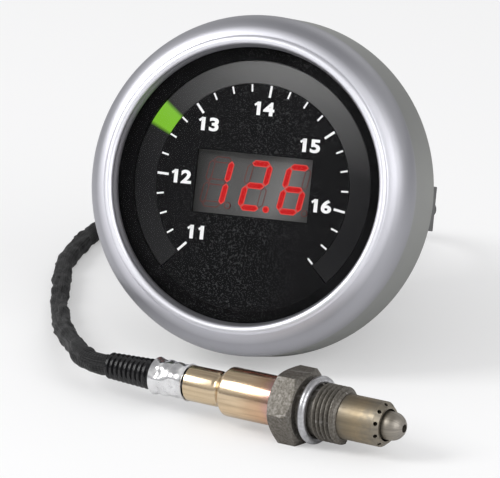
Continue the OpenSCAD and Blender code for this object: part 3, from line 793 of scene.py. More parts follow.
@dataclass(frozen=True)
class Ringed(Finish):
    """Anodised metal whose colour follows the gauge's axis: darker on the skirt, and bright at the lip as a
    painted highlight.

    Args:
        stops: the colours and their places along the axis, in millimetres; the last ones are a painted
            highlight on the lip.
        brushed: the depth in the shade of the fine rings that turning leaves.
        ring_scale: the number of rings in a millimetre.
        patch_share: how far the patches show.
    """

    stops: Stops = ()
    brushed: float = 0.06
    ring_scale: float = 9.0
    patch_share: float = 0.06

    def paint(self, ground: Ground) -> Socket:
        """Gives the colour at a place along the axis, with the painted lip highlight and fine turned rings.

        Args:
            ground: what the finish paints with.

        Returns:
            The colour's socket.
        """
        tree = ground.tree
        _, _, z, radius, _ = ground.own(Axes.GAUGE)
        # The stops paint a highlight on the lip.
        tint = tree.along(z, self.stops)
        rings = tree.add("TexNoise", noise_dimensions="1D", W=tree.plus(z, radius), Scale=self.ring_scale,
                         Detail=2.0)
        dark = tree.times(rings.outputs[0], self.brushed)
        return tree.mix(tree.plus(dark, ground.patched(self.patch_share)), tint, self.mottle)


@dataclass(frozen=True)
class Speckled(Finish):
    """Black print with a fine light speckle, as on the dial.

    Args:
        speck: the colour of a speck.
        speck_wide: the width of a speck in millimetres.
        speck_edges: where a speck starts and is full, in the noise's values.
        band: the half widths in millimetres at which the speckled band is full and is thinnest.
        thin: the specks' strength outside the band.
        slope: how far the band leans, in width for each unit of height.
    """

    speck: Colour = (0.035, 0.035, 0.036)
    speck_wide: float = 0.42
    speck_edges: Ring = (0.56, 0.68)
    band: Ring = (2.0, 15.0)
    thin: float = 0.15
    slope: float = 0.25

    def paint(self, ground: Ground) -> Socket:
        """Gives black with specks, denser in a soft band down the middle of the dial.

        Args:
            ground: what the finish paints with.

        Returns:
            The colour's socket.
        """
        tree = ground.tree
        x, y, _, _, _ = ground.own(Axes.GAUGE)
        specks = tree.between(tree.noise(ground.place, self.speck_wide, 1.0), *self.speck_edges)
        off_band = tree.math("ABSOLUTE", tree.less(x, tree.times(y, self.slope)))
        middle = tree.between(off_band, *self.band, 1.0, self.thin)
        return tree.mix(tree.times(specks, middle), self.colour, self.speck)


@dataclass(frozen=True)
class Smoked(Finish):
    """Smoked plastic over the arc lights: lighter towards the top as a painted reflection, with one cell lit.

    Args:
        stops: its shades from the foot of the dial, 0, to the top, 1; the lighter top is a painted
            reflection.
        span: the heights of the foot and the top, in millimetres.
        slope: how much height a place to the right gains.
        lit: the colour of the lit cell.
        lit_at: the angle of the lit cell, in degrees from the right.
        lit_edges: the half angles at which the light starts to fade and is gone.
    """

    stops: Stops = ()
    span: Ring = (-20.0, 23.0)
    slope: float = 0.2
    lit: Colour = (0.2, 0.52, 0.015)
    lit_at: float = 148.7
    lit_edges: Ring = (4.9, 7.1)

    def paint(self, ground: Ground) -> Socket:
        """Gives the shade of the plastic at its height on the dial, with a painted reflection towards the
        top.

        Args:
            ground: what the finish paints with.

        Returns:
            The colour's socket.
        """
        tree = ground.tree
        x, y, _, _, _ = ground.own(Axes.GAUGE)
        height = tree.plus(y, tree.times(x, self.slope))
        # Lighter towards the top: a painted reflection.
        return tree.ramp(tree.between(height, *self.span), self.stops)

    def extra(self, ground: Ground, shader: Node) -> None:
        """Lights one cell, with soft sides.

        Args:
            ground: what the finish paints with.
            shader: the material's shader.
        """
        tree = ground.tree
        off = tree.math("ABSOLUTE", tree.less(ground.own(Axes.GAUGE)["Angle"], self.lit_at))
        glow = tree.between(off, *self.lit_edges, 1.0, 0.0)
        tree.feed(shader.inputs["Emission Color"], tree.mix(glow, even(0.0), self.lit))
        shader.inputs["Emission Strength"].default_value = 1.0


@dataclass(frozen=True)
class Shaded(Finish):
    """A flat face whose shade changes over the dial, as the grey face of the number display, with a lighter
    band that is a painted reflection.

    Args:
        stops: its shades from the lower left, 0, to the upper right, 1; the light band is a painted
            reflection.
        slope: how much the shade follows height rather than width.
        half: half the width over which the shade changes, in millimetres.
        patch_share: how far the patches show.
    """

    stops: Stops = ()
    slope: float = 0.4
    half: float = 11.0
    patch_share: float = 0.2

    def paint(self, ground: Ground) -> Socket:
        """Gives the shade at a place on the face, with its painted reflection.

        Args:
            ground: what the finish paints with.

        Returns:
            The colour's socket.
        """
        tree = ground.tree
        x, y, _, _, _ = ground.own(Axes.GAUGE)
        share = tree.between(tree.less(x, tree.times(y, self.slope)), -self.half, self.half)
        # The ramp's light band is a painted reflection.
        return tree.mix(ground.patched(self.patch_share), tree.ramp(share, self.stops), self.mottle)


@dataclass(frozen=True)
class Lit(Finish):
    """A bar that gives light.

    Args:
        strength: the strength of its light, in its own colour.
        unlit: how dark the bar is by itself, as a share of that colour.
        uneven: the width of its brighter places in millimetres.
        uneven_edges: where such a place starts and is full, in the noise's values.
        uneven_share: how far the patches' colour shows there.
    """

    strength: float = 1.0
    unlit: float = 0.12
    uneven: float = 2.0
    uneven_edges: Ring = (0.3, 0.7)
    uneven_share: float = 0.35

    def paint(self, ground: Ground) -> Socket:
        """Gives the dark colour that the bar has by itself.

        Args:
            ground: what the finish paints with.

        Returns:
            The colour's socket.
        """
        dark, patch = (tuple(c * self.unlit for c in colour) for colour in (self.colour, self.mottle))
        return ground.tree.mix(ground.marks["Patches"], dark, patch)

    def extra(self, ground: Ground, shader: Node) -> None:
        """Makes the bar glow, a little unevenly.

        Args:
            ground: what the finish paints with.
            shader: the material's shader.
        """
        tree = ground.tree
        brighter = tree.noise(ground.place, self.uneven)
        share = tree.between(brighter, *self.uneven_edges, 0.0, self.uneven_share)
        tree.feed(shader.inputs["Emission Color"], tree.mix(share, self.colour, self.mottle))
        shader.inputs["Emission Strength"].default_value = self.strength


@dataclass(frozen=True)
class Clear(Finish):
    """Clear plastic that shows what is behind it.

    Args:
        alpha: how much of its own surface shows.
    """

    alpha: float = 0.04

    def extra(self, ground: Ground, shader: Node) -> None:
        """Lets light through."""
        shader.inputs["Alpha"].default_value = self.alpha


@dataclass(frozen=True)
class Braided(Finish):
    """A woven sleeve: its strands follow the lead's own UV map.

    Args:
        strands: the strands of each lay round the sleeve.
        lay: the length of one crossing along the sleeve, in millimetres.
        crest: the colour of a strand's crest, a painted highlight.
        least_crest_highlight: the crests' strength outside the patches.
        folds: the height of the cloth's own folds, for a strand's height of 1.
    """

    strands: float = 12.0
    lay: float = 1.1
    crest: Colour = (0.016, 0.016, 0.017)
    least_crest_highlight: float = 0.3
    folds: float = 1.5

    def weave(self, tree: Tree) -> Outputs:
        """Lays the strands over the sleeve.

        Args:
            tree: the material's node tree.

        Returns:
            Their height and their crests.
        """
        uv = tree.add("UVMap", uv_map="sleeve").outputs[0]
        return tree.add("Group", node_tree=Patterns.weave(), UV=uv, Strands=self.strands,
                        Lay=self.lay).outputs

    def paint(self, ground: Ground) -> Socket:
        """Gives the sleeve's black with its patches, and a painted highlight on the strands' crests that is
        stronger in the worn patches.

        Args:
            ground: what the finish paints with.

        Returns:
            The colour's socket.
        """
        tree, patches = ground.tree, ground.marks["Patches"]
        worn = tree.between(patches, 0.0, 1.0, self.least_crest_highlight, 1.0)
        # The crests carry a painted highlight.
        crests = tree.times(self.weave(tree)["Crest"], worn)
        return tree.mix(crests, tree.mix(patches, self.colour, self.mottle), self.crest)

    def height(self, ground: Ground) -> Socket:
        """Returns the strands' height, with the cloth's own folds."""
        return ground.tree.plus(self.weave(ground.tree)["Height"], ground.patched(self.folds))


@dataclass(frozen=True)
class Threaded(Finish):
    """Moulded plastic whose nose carries a fine thread.

    Args:
        pitch: the pitch of the thread in millimetres.
        nose: the radii between which the thread grows to its full depth.
        deep: the thread's depth, for a grain's depth of 1.
    """

    pitch: float = 1.5
    nose: Ring = (26.6, 26.7)
    deep: float = 30.0

    def height(self, ground: Ground) -> Socket:
        """Gives the grain, and the thread's turns on the nose.

        Args:
            ground: what the finish paints with.

        Returns:
            The height's socket.
        """
        tree = ground.tree
        _, _, z, radius, angle = ground.own(Axes.GAUGE)
        turns = tree.plus(tree.over(z, self.pitch), tree.over(angle, 360.0))
        tooth = tree.math("PINGPONG", turns, 0.5)
        depth = tree.times(tree.times(tooth, tree.between(radius, *self.nose)), self.deep)
        return tree.plus(ground.marks["Grain"], depth)


# The bezel's colours along its axis; the bright stops from 3.95 mm on are a painted highlight on the lip.
SILVER_WITH_LIP_HIGHLIGHT: Stops = (
    (-11.2, (0.29, 0.295, 0.28)), (-1.0, (0.31, 0.315, 0.30)), (-0.5, (0.36, 0.36, 0.385)),
    (3.3, (0.40, 0.40, 0.43)), (3.95, (0.70, 0.70, 0.75)), (4.5, (0.88, 0.88, 0.93)))
BRASS: Stops = (
    (-24.0, (0.68, 0.55, 0.37)), (-17.5, (0.70, 0.57, 0.40)), (-12.0, (0.72, 0.56, 0.38)),
    (-7.5, (0.63, 0.41, 0.27)), (-5.5, (0.53, 0.30, 0.31)), (-4.0, (0.38, 0.25, 0.28)))
SCORCHED: Stops = (
    (7.0, (0.20, 0.18, 0.15)), (9.0, (0.24, 0.20, 0.14)), (11.5, (0.30, 0.24, 0.155)),
    (15.0, (0.26, 0.23, 0.18)), (19.5, (0.38, 0.355, 0.32)))
# The arc's shades; the lighter stops towards the top are a painted reflection.
SMOKE_WITH_PAINTED_REFLECTION: Stops = (
    (0.0, (0.022, 0.022, 0.023)), (0.35, (0.012, 0.012, 0.013)), (0.62, (0.018, 0.018, 0.019)),
    (0.84, even(0.09)), (1.0, (0.19, 0.19, 0.188)))
# The display face's shades; the light band towards the upper right is a painted reflection.
DISPLAY_PAINTED_REFLECTION: Stops = (
    (0.0, (0.075, 0.075, 0.073)), (0.45, (0.12, 0.12, 0.118)), (0.72, (0.21, 0.21, 0.208)),
    (1.0, (0.11, 0.11, 0.108)))

FINISHES: dict[str, Finish] = {
    "satin_aluminium": Ringed("satin silver with painted lip highlight", (0.40, 0.40, 0.43), (0.30, 0.30, 0.32), metallic=1.0,
                              rough=(0.46, 0.52), patch=12.0, grain=0.10, relief=0.001, scuff=0.02,
                              stops=SILVER_WITH_LIP_HIGHLIGHT),
    "clear_lens": Clear("clear lens", even(0.01), even(0.012), rough=(0.04, 0.07)),
    "black_rubber": Finish("black rubber", (0.012, 0.012, 0.013), even(0.022), rough=(0.5, 0.7)),
    "dial_black": Speckled("dial print", (0.0045, 0.0045, 0.005), even(0.012), rough=(0.45, 0.6), patch=4.0,
                           grain=0.2, relief=0.001, sheen=0.06),
    "smoked_window": Smoked("smoked arc with painted reflection", even(0.03), even(0.05), rough=(0.35, 0.45), relief=0.0005,
                            sheen=0.08, stops=SMOKE_WITH_PAINTED_REFLECTION),
    "digit_red": Lit("red bar", (0.61, 0.010, 0.012), (0.66, 0.016, 0.016), rough=(0.4, 0.5), sheen=0.1,
                     strength=0.85),
    "baffle_white": Finish("light baffle", (0.75, 0.75, 0.73), (0.68, 0.68, 0.66)),
    "board_green": Finish("circuit board", (0.02, 0.12, 0.045), (0.03, 0.17, 0.06), rough=(0.25, 0.4),
                          patch=1.2, grain=0.3),
    "black_plastic": Threaded("black moulded plastic", (0.016, 0.016, 0.017), (0.024, 0.024, 0.025),
                              rough=(0.36, 0.46), patch=6.0, grain=0.14, relief=0.004, scuff=0.03,
                              sheen=0.35),
    "natural_plastic": Finish("natural nylon", (0.62, 0.60, 0.52), (0.55, 0.53, 0.46), rough=(0.35, 0.5),
                              patch=3.0, grain=0.2),
    "pin_gold": Finish("plated pin", (0.80, 0.55, 0.20), (0.70, 0.47, 0.17), metallic=1.0, rough=(0.2, 0.3),
                       patch=1.0, grain=0.1, relief=0.001),
    "zinc_steel": Finish("zinc plated steel", (0.55, 0.56, 0.58), (0.45, 0.46, 0.50), metallic=1.0,
                         rough=(0.25, 0.4), patch=2.0, grain=0.12, relief=0.003, scuff=0.15),
    "can_aluminium": Finish("capacitor can", (0.60, 0.61, 0.64), (0.50, 0.51, 0.54), metallic=1.0,
                            rough=(0.3, 0.4), patch=3.0, grain=0.2),
    "switch_blue": Finish("switch body", (0.02, 0.06, 0.22), (0.03, 0.08, 0.27), rough=(0.3, 0.4), patch=3.0,
                          grain=0.2),
    "hex_steel": Finish("worn steel", (0.230, 0.216, 0.198), (0.130, 0.119, 0.100), metallic=1.0,
                        rough=(0.52, 0.66), patch=0.42, grain=0.2, relief=0.03, scuff=0.6),
    "washer_steel": Finish("bright washer", (0.56, 0.56, 0.575), (0.38, 0.38, 0.39), metallic=1.0,
                           rough=(0.30, 0.44), patch=0.7, grain=0.2, relief=0.018, scuff=0.4),
    "tube_steel": Tinted("scorched steel", (0.30, 0.26, 0.20), (0.15, 0.135, 0.115), metallic=1.0,
                         rough=(0.42, 0.54), patch=1.1, grain=0.2, relief=0.012, scuff=0.3, stops=SCORCHED,
                         streak=0.35),
    "gold_shell": Tinted("gold plated shell", (0.70, 0.52, 0.30), (0.50, 0.36, 0.22), metallic=1.0,
                         rough=(0.16, 0.26), patch=4.0, grain=0.2, relief=0.002, scuff=0.1, stops=BRASS,
                         streak=0.45),
    "ferrule_silver": Finish("bright ferrule", (0.84, 0.84, 0.845), (0.72, 0.72, 0.73), metallic=1.0,
                             rough=(0.16, 0.30), patch=1.5, grain=0.3, relief=0.012, scuff=0.2),
    "ceramic": Finish("ceramic", (0.80, 0.78, 0.72), (0.74, 0.72, 0.66), patch=2.0, grain=0.2),
    "boot_rubber": Finish("glossy rubber boot", (0.008, 0.008, 0.009), (0.014, 0.014, 0.015),
                          rough=(0.10, 0.16), patch=2.5, grain=0.4, relief=0.003, sheen=0.42),
    "sleeve_black": Braided("woven sleeve", (0.005, 0.005, 0.0055), (0.010, 0.010, 0.0105),
                            rough=(0.38, 0.55), grain=0.3, relief=0.12, sheen=0.22),
    "wire_grey": Finish("wire jacket", (0.45, 0.45, 0.47), (0.40, 0.40, 0.42), rough=(0.4, 0.5), patch=2.0,
                        grain=0.2),
}
DISPLAY_FACE = Shaded("grey display face with painted reflection", (0.16, 0.16, 0.158), even(0.14), rough=(0.4, 0.5), patch=6.0,
                      grain=0.3, relief=0.0005, sheen=0.1, stops=DISPLAY_PAINTED_REFLECTION)
DIAL_WHITE = Finish("white print", even(0.92), even(0.88), rough=(0.5, 0.6), patch=2.0, grain=0.15,
                    relief=0.001, scuff=0.0)
RED_EDGE = Lit("red bar edge", (0.84, 0.085, 0.07), (0.80, 0.07, 0.06), rough=(0.4, 0.5), sheen=0.1,
               strength=0.9)
GHOST_EDGE = Finish("unlit bar edge", (0.20, 0.055, 0.05), (0.17, 0.065, 0.06), rough=(0.4, 0.5), patch=2.0,
                    sheen=0.1)
OWN_FINISHES: dict[str, Finish] = {"display_block": DISPLAY_FACE, "display_window": FINISHES["clear_lens"]}


class Wardrobe:
    """The finishes as materials, each built when a piece first takes it."""

    built: dict[str, bpy.types.Material] = {}

    @classmethod
    def get(cls, finish: Finish) -> bpy.types.Material:
        """Gives a finish's material, and builds it the first time.

        Args:
            finish: the finish.

        Returns:
            Its material.
        """
        if finish.name not in cls.built:
            cls.built[finish.name] = finish.make()
        return cls.built[finish.name]

    @classmethod
    def dress(cls, piece: Piece, slot: str, body: str, stands_for: Sequence[str] = (),
              finish: Optional[Finish] = None) -> Piece:
        """Gives a finished piece the material of its slot or its own finish, puts it on the body that it
        rides on and hides the nodes it replaces.

        Args:
            piece: the piece, already in its place.
            slot: the record's material slot.
            body: the body that it rides on.
            stands_for: the nodes that it replaces.
            finish: its own finish, where that isn't the slot's.

        Returns:
            The same piece.
        """
        piece.data.materials.clear()
        piece.data.materials.append(cls.get(finish or FINISHES[slot]))
        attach(piece, body)
        if stands_for:
            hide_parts(*stands_for)
        LOG.info("%s: %d faces, finish %s", piece.name, len(piece.data.polygons),
                 piece.data.materials[0].name)
        return piece

    @classmethod
    def dress_nodes(cls) -> None:
        """Gives every node of the frame its own finish, or else that of its slot."""
        for name, node in frame["nodes"].items():
            for slot in node.material_slots:
                key = slot.material.name.split(".")[0]
                slot.material = cls.get(OWN_FINISHES.get(name, FINISHES[key]))
            LOG.info("node %s: finish %s", name, node.material_slots[0].material.name)


@dataclass
class Lead:
    """The sleeved lead from the gauge's plug, through the coil, to the sensor's boot.

    The points and sizes are those of the frame's own lead, in millimetres. Shares and scales of the
    sleeve's folds are plain numbers.
    """

    diameter: float = 3.4
    length: float = 642.0
    coil_centre: Ring = (-30.0, 56.05)
    coil_out: float = 21.9
    coil_pitch: float = 3.9
    coil_turns: int = 4
    coil_low: float = 2.3
    coil_start: float = 90.0
    coil_steps: int = 24
    # The lead climbs to the coil's upper layer within this share of a turn.
    climb: float = 0.5
    # The length at which the coil is left, and the length over which the folds then grow.
    coil_end: float = 506.0
    grow: float = 8.0
    step: float = 0.85
    sides: int = 24
    hard_edge: float = 60.0
    # The sleeve is thinner than the lead by slack, and its lumps swell it, less so where it is coiled.
    slack: float = 0.95
    coiled_swell: float = 0.3
    loose_swell: float = 1.25
    least: float = 1.25
    boot_swell: float = 0.30
    boot_reach: float = 16.0
    # Each noise has its scale for a millimetre and its share of a lump; folds are ridges of the first.
    fold: Ring = (0.16, 0.20)
    fold_level: float = 0.55
    fold_side: float = 3.0
    lump: Ring = (0.34, 0.16)
    crease: Ring = (0.9, 0.07)
    path_every: int = 3
    # Each fitting has its name, its node, its slot, its rounding and the faces across the rounding.
    fittings: tuple[tuple[str, str, str, float, int], ...] = (
        ("plug_shell", "lead_plug", "black_plastic", 0.35, 3),
        ("plug_boot", "plug_seal", "black_rubber", 0.25, 2),
        ("tie_strap", "coil_tie", "black_plastic", 0.12, 2))
    from_plug: tuple[Point, ...] = (
        (4.0, 54.75, 13.26), (4.0, 57.95, 12.26), (3.8, 63.05, 10.69), (2.4, 68.05, 8.69), (-1.2, 72.65, 6.4),
        (-6.5, 76.05, 4.29), (-12.5, 77.65, 2.9), (-19.5, 77.95, 2.3), (-23.2, 77.95, 2.3),
        (-26.6, 77.95, 2.3))
    to_sensor: tuple[Point, ...] = (
        (-33.4, 77.95, 6.2), (-36.8, 77.95, 6.2), (-41.46, 77.55, 5.7), (-46.97, 75.66, 4.49),
        (-52.48, 71.65, 3.1), (-56.63, 66.04, 2.1), (-58.79, 59.56, 1.7), (-59.29, 52.54, 1.7),
        (-58.86, 45.04, 1.7), (-57.47, 36.05, 1.7), (-55.03, 27.54, 1.7), (-51.99, 19.03, 1.7),
        (-48.6, 10.03, 1.7), (-45.02, 2.03, 2.09), (-41.53, -5.97, 3.2), (-37.54, -13.47, 4.41),
        (-33.05, -20.98, 5.4), (-29.27, -26.78, 5.91), (-25.92, -30.07, 6.0), (-22.67, -30.88, 6.0))

    def coil_point(self, turn: float) -> Vector:
        """Finds a place on the coil's centre line: inwards on the lower layer, outwards on the upper one.

        Args:
            turn: the turns made so far.

        Returns:
            The place.
        """
        half = self.coil_turns / 2
        radius = self.coil_out - self.coil_pitch * (turn if turn < half else self.coil_turns - turn)
        rise = min(1.0, max(0.0, (turn - half) / self.climb + 0.5))
        angle = math.radians(self.coil_start + 360.0 * turn)
        x, y = self.coil_centre
        return Vector((x + radius * math.cos(angle), y + radius * math.sin(angle),
                       self.coil_low + self.coil_pitch * rise))

    def route(self) -> list[Vector]:
        """Lays a smooth curve through the lead's points.

        Returns:
            Close points of the centre line, from the plug to the boot.
        """
        coil = [self.coil_point(i / self.coil_steps) for i in range(self.coil_turns * self.coil_steps + 1)]
        points = [*map(Vector, self.from_plug), *coil, *map(Vector, self.to_sensor)]
        smooth: list[Vector] = []
        for i in range(len(points) - 1):
            a, b = points[max(i - 1, 0)], points[i]
            c, d = points[i + 1], points[min(i + 2, len(points) - 1)]
            steps = max(2, round((c - b).length / self.step))
            for k in range(steps):
                t = k / steps
                smooth.append(0.5 * (2 * b + (c - a) * t + (2 * a - 5 * b + 4 * c - d) * t * t
                                     + (3 * b - a - 3 * c + d) * t * t * t))
        return [*smooth, points[-1]]

    def girth(self, place: Vector, along: float, total: float, side: float) -> float:
        """Finds the sleeve's radius: crumpled where it is loose, and fuller just before the boot.

        Args:
            place: a place beside the centre line.
            along: the length up to there.
            total: the lead's whole length.
            side: a shift that sets the folds apart round the lead.

        Returns:
            The radius.
        """
        half = self.diameter / 2
        full = self.boot_swell * max(0.0, 1.0 - (total - along) / self.boot_reach)
        ridge = 1.0 - 2.0 * abs(noise.noise(place * self.fold[0] + Vector((0.0, side, 0.0))))
        swell = (self.fold[1] * (ridge - self.fold_level) + self.lump[1] * noise.noise(place * self.lump[0])
                 + self.crease[1] * noise.noise(place * self.crease[0]))
        if along < self.coil_end:
            return min(half * (self.slack + self.coiled_swell * swell), half)
        near = min(1.0, (along - self.coil_end) / self.grow)
        return max(self.least, half * (self.slack + swell * near * self.loose_swell) + full)

    def lengths(self, route: Sequence[Vector]) -> list[float]:
        """Measures the route.

        Args:
            route: the centre line.

        Returns:
            The length up to each of its points.
        """
        lengths = [0.0]
        for a, b in zip(route, route[1:]):
            lengths.append(lengths[-1] + (b - a).length)
        return lengths

    def skin(self, route: Sequence[Vector], lengths: Sequence[float]) -> list[Vector]:
        """Sets a ring of points round each point of the route, and none below the floor.

        Args:
            route: the centre line.
            lengths: the length up to each of its points.

        Returns:
            The rings' points in metres, ring by ring.
        """
        points: list[Vector] = []
        side = Vector((1.0, 0.0, 0.0))
        for i, place in enumerate(route):
            way = (route[min(i + 1, len(route) - 1)] - route[max(i - 1, 0)]).normalized()
            side = (side - way * side.dot(way)).normalized()
            up = way.cross(side)
            for k in range(self.sides):
                turn = math.tau * k / self.sides
                out = side * math.cos(turn) + up * math.sin(turn)
                radius = self.girth(place + out, lengths[i], lengths[-1], self.fold_side * math.cos(turn))
                spot = place + out * radius
                points.append(Vector((spot.x, spot.y, max(spot.z, 0.0))) * MM)
        return points

    def sleeve(self, route: Sequence[Vector]) -> Piece:
        """Makes the sleeve as a closed tube, with a UV map of the turn round it and the length along it.

        Args:
            route: the centre line.

        Returns:
            The sleeve, in its place.
        """
        lengths = self.lengths(route)
        n = self.sides
        faces = [(i * n + k, i * n + (k + 1) % n, (i + 1) * n + (k + 1) % n, (i + 1) * n + k)
                 for i in range(len(route) - 1) for k in range(n)]
        last = (len(route) - 1) * n
        faces += [tuple(range(n - 1, -1, -1)), tuple(last + k for k in range(n))]
        mesh = bpy.data.meshes.new("sleeved_lead")
        mesh.from_pydata([tuple(v) for v in self.skin(route, lengths)], [], faces)
        layer = mesh.uv_layers.new(name="sleeve")
        for face in mesh.polygons:
            closes = len(face.vertices) == 4 and n - 1 in [v % n for v in face.vertices]
            for loop in face.loop_indices:
                ring, k = divmod(mesh.loops[loop].vertex_index, n)
                layer.data[loop].uv = (1.0 if closes and k == 0 else k / n, lengths[ring])
        lead = Bench.link(bpy.data.objects.new("sleeved_lead", mesh))
        return Bench.smooth(lead, self.hard_edge)

    def build(self) -> None:
        route = self.route()
        lead = Wardrobe.dress(self.sleeve(route), "sleeve_black", "gauge",
                              ("plug_lead", "lead_coil", "sensor_lead"))
        fittings = [Wardrobe.dress(Bench.eased_copy(name, node, width, segments), slot, "gauge", (node,))
                    for name, node, slot, width, segments in self.fittings]


@dataclass
class Studio:
    """The pale floor, the soft light and the camera at the photograph's angle.

    Angles are in degrees, and the camera's sizes and places in millimetres. The lamps and the floor
    are in metres and watts.
    """

    azimuth: float = 20.0
    elevation: float = 17.0
    focal: float = 400.0
    sensor: float = 36.0
    view_width: float = 87.7
    aim: Point = (-7.0, -2.0, 31.97)
    aim_right: float = -0.35
    aim_up: float = -9.37
    clip: Ring = (0.01, 50.0)
    # Each lamp has its name, its place, its side and its power.
    lamps: tuple[tuple[str, Point, float, float], ...] = (
        ("key", (-0.60, -0.42, 0.56), 0.40, 4.3),
        ("fill", (0.60, -0.50, 0.42), 0.5, 3.0),
        ("rear", (0.1, 0.6, 0.6), 0.5, 0.3))
    lamps_aim: Point = (0.0, 0.0, 0.02)
    floor_side: float = 8.0
    floor_rough: float = 0.9
    floor_patch: float = 60.0
    floor_glow: float = 0.38
    floor_shades: Ring = (0.86, 0.87)
    # What metal mirrors, from straight below, 0, to straight above, 1.
    bands: Stops = (
        (0.0, even(0.75)), (0.42, (0.60, 0.60, 0.61)), (0.52, (0.22, 0.22, 0.23)),
        (0.60, (0.55, 0.55, 0.56)), (0.72, even(0.85)), (0.85, even(0.50)), (1.0, (0.35, 0.35, 0.36)))
    room: Colour = (0.62, 0.62, 0.63)

    def camera(self) -> None:
        """Adds the camera and makes it the scene's."""
        a, e = math.radians(self.azimuth), math.radians(self.elevation)
        back = Vector((math.sin(a) * math.cos(e), -math.cos(a) * math.cos(e), math.sin(e)))
        right = Vector((math.cos(a), math.sin(a), 0.0))
        up = Vector((-math.sin(e) * math.sin(a), math.sin(e) * math.cos(a), math.cos(e)))
        data = bpy.data.cameras.new("camera")
        data.lens, data.sensor_width = self.focal, self.sensor
        data.clip_start, data.clip_end = self.clip
        camera = Bench.link(bpy.data.objects.new("camera", data))
        distance = self.view_width / self.sensor * self.focal
        place = Vector(self.aim) + right * self.aim_right + up * self.aim_up + back * distance
        camera.location = place * MM
        camera.rotation_mode = "QUATERNION"
        camera.rotation_quaternion = (-back).to_track_quat("-Z", "Y")
        bpy.context.scene.camera = camera

    def lamp(self, name: str, place: Point, size: float, power: float) -> None:
        """Adds a square soft lamp that looks at the gauge.

        Args:
            name: the lamp's name.
            place: its place.
            size: its side.
            power: its power.
        """
        data = bpy.data.lights.new(name, "AREA")
        data.size, data.energy = size, power
        lamp = Bench.link(bpy.data.objects.new(name, data))
        lamp.location = place
        lamp.rotation_euler = (Vector(self.lamps_aim) - Vector(place)).to_track_quat("-Z", "Y").to_euler()

    def floor(self) -> None:
        """Adds the floor, pale for the camera and keeping the object's shadow."""
        Bench.clear()
        bpy.ops.mesh.primitive_plane_add(size=self.floor_side)
        floor = Bench.named("studio_floor")
        material = bpy.data.materials.new("pale floor")
        material.use_nodes = True
        tree = Tree(material.node_tree)
        shader = material.node_tree.nodes["Principled BSDF"]
        shader.inputs["Roughness"].default_value = self.floor_rough
        shader.inputs["Specular IOR Level"].default_value = 0.0
        place = tree.add("TexCoord").outputs["Object"]
        tree.feed(shader.inputs["Base Color"],
                  tree.mix(tree.noise(place, self.floor_patch), *map(even, self.floor_shades)))
        glow = tree.add("Emission", Color=even(1.0), Strength=1.0)
        seen = tree.times(tree.add("LightPath").outputs["Is Camera Ray"], self.floor_glow)
        both = tree.add("MixShader", Fac=seen)
        tree.feed(both.inputs[1], shader.outputs[0])
        tree.feed(both.inputs[2], glow.outputs[0])
        tree.feed(material.node_tree.nodes["Material Output"].inputs["Surface"], both.outputs[0])
        floor.data.materials.append(material)

    def world(self) -> None:
        """Sets the light of the room: even on the object, banded in what metal mirrors, white behind."""
        world = bpy.data.worlds.new("studio")
        bpy.context.scene.world = world
        world.use_nodes = True
        tree = Tree(world.node_tree)
        way = tree.add("SeparateXYZ", Vector=tree.add("TexCoord").outputs["Generated"])
        bands = tree.ramp(tree.between(way.outputs[2], -1.0, 1.0), self.bands)
        path = tree.add("LightPath")
        room = tree.mix(path.outputs["Is Glossy Ray"], self.room, bands)
        tree.feed(world.node_tree.nodes["Background"].inputs["Color"],
                  tree.mix(path.outputs["Is Camera Ray"], room, even(1.0)))

    def build(self) -> None:
        """Builds the studio."""
        self.camera()
        self.floor()
        self.world()
        for lamp in self.lamps:
            self.lamp(*lamp)
        bpy.context.scene.view_settings.view_transform = "Standard"


def arc(centre: Ring, radius: float, start: float, end: float, steps: int) -> list[Ring]:
    """Draws an arc of a profile.

    Args:
        centre: its centre.
        radius: its radius.
        start: the angle of its first point, in degrees.
        end: the angle of its last point.
        steps: the number of its edges.

    Returns:
        Its points in order.
    """
    angles = [math.radians(start + (end - start) * i / steps) for i in range(steps + 1)]
    return [(centre[0] + radius * math.cos(a), centre[1] + radius * math.sin(a)) for a in angles]


def turn_out(name: str, profile: Sequence[Ring], seat: Seat, slot: str, node: str, body: str = "gauge",
             steps: int = 96, hard: float = 50.0) -> Piece:
    """Turns a piece, puts it in its place and dresses it.

    Args:
        name: the name of the new piece.
        profile: its (radius, height) points in order, in millimetres; the last joins the first.
        seat: where its own axes stand.
        slot: the record's material slot.
        node: the node that it replaces.
        body: the body that it rides on.
        steps: the number of faces round the axis.
        hard: the angle in degrees above which an edge stays sharp.

    Returns:
        The new piece.
    """
    piece = Bench.smooth(seat.put(Bench.turned(name, profile, steps)), hard)
    return Wardrobe.dress(piece, slot, body, (node,))


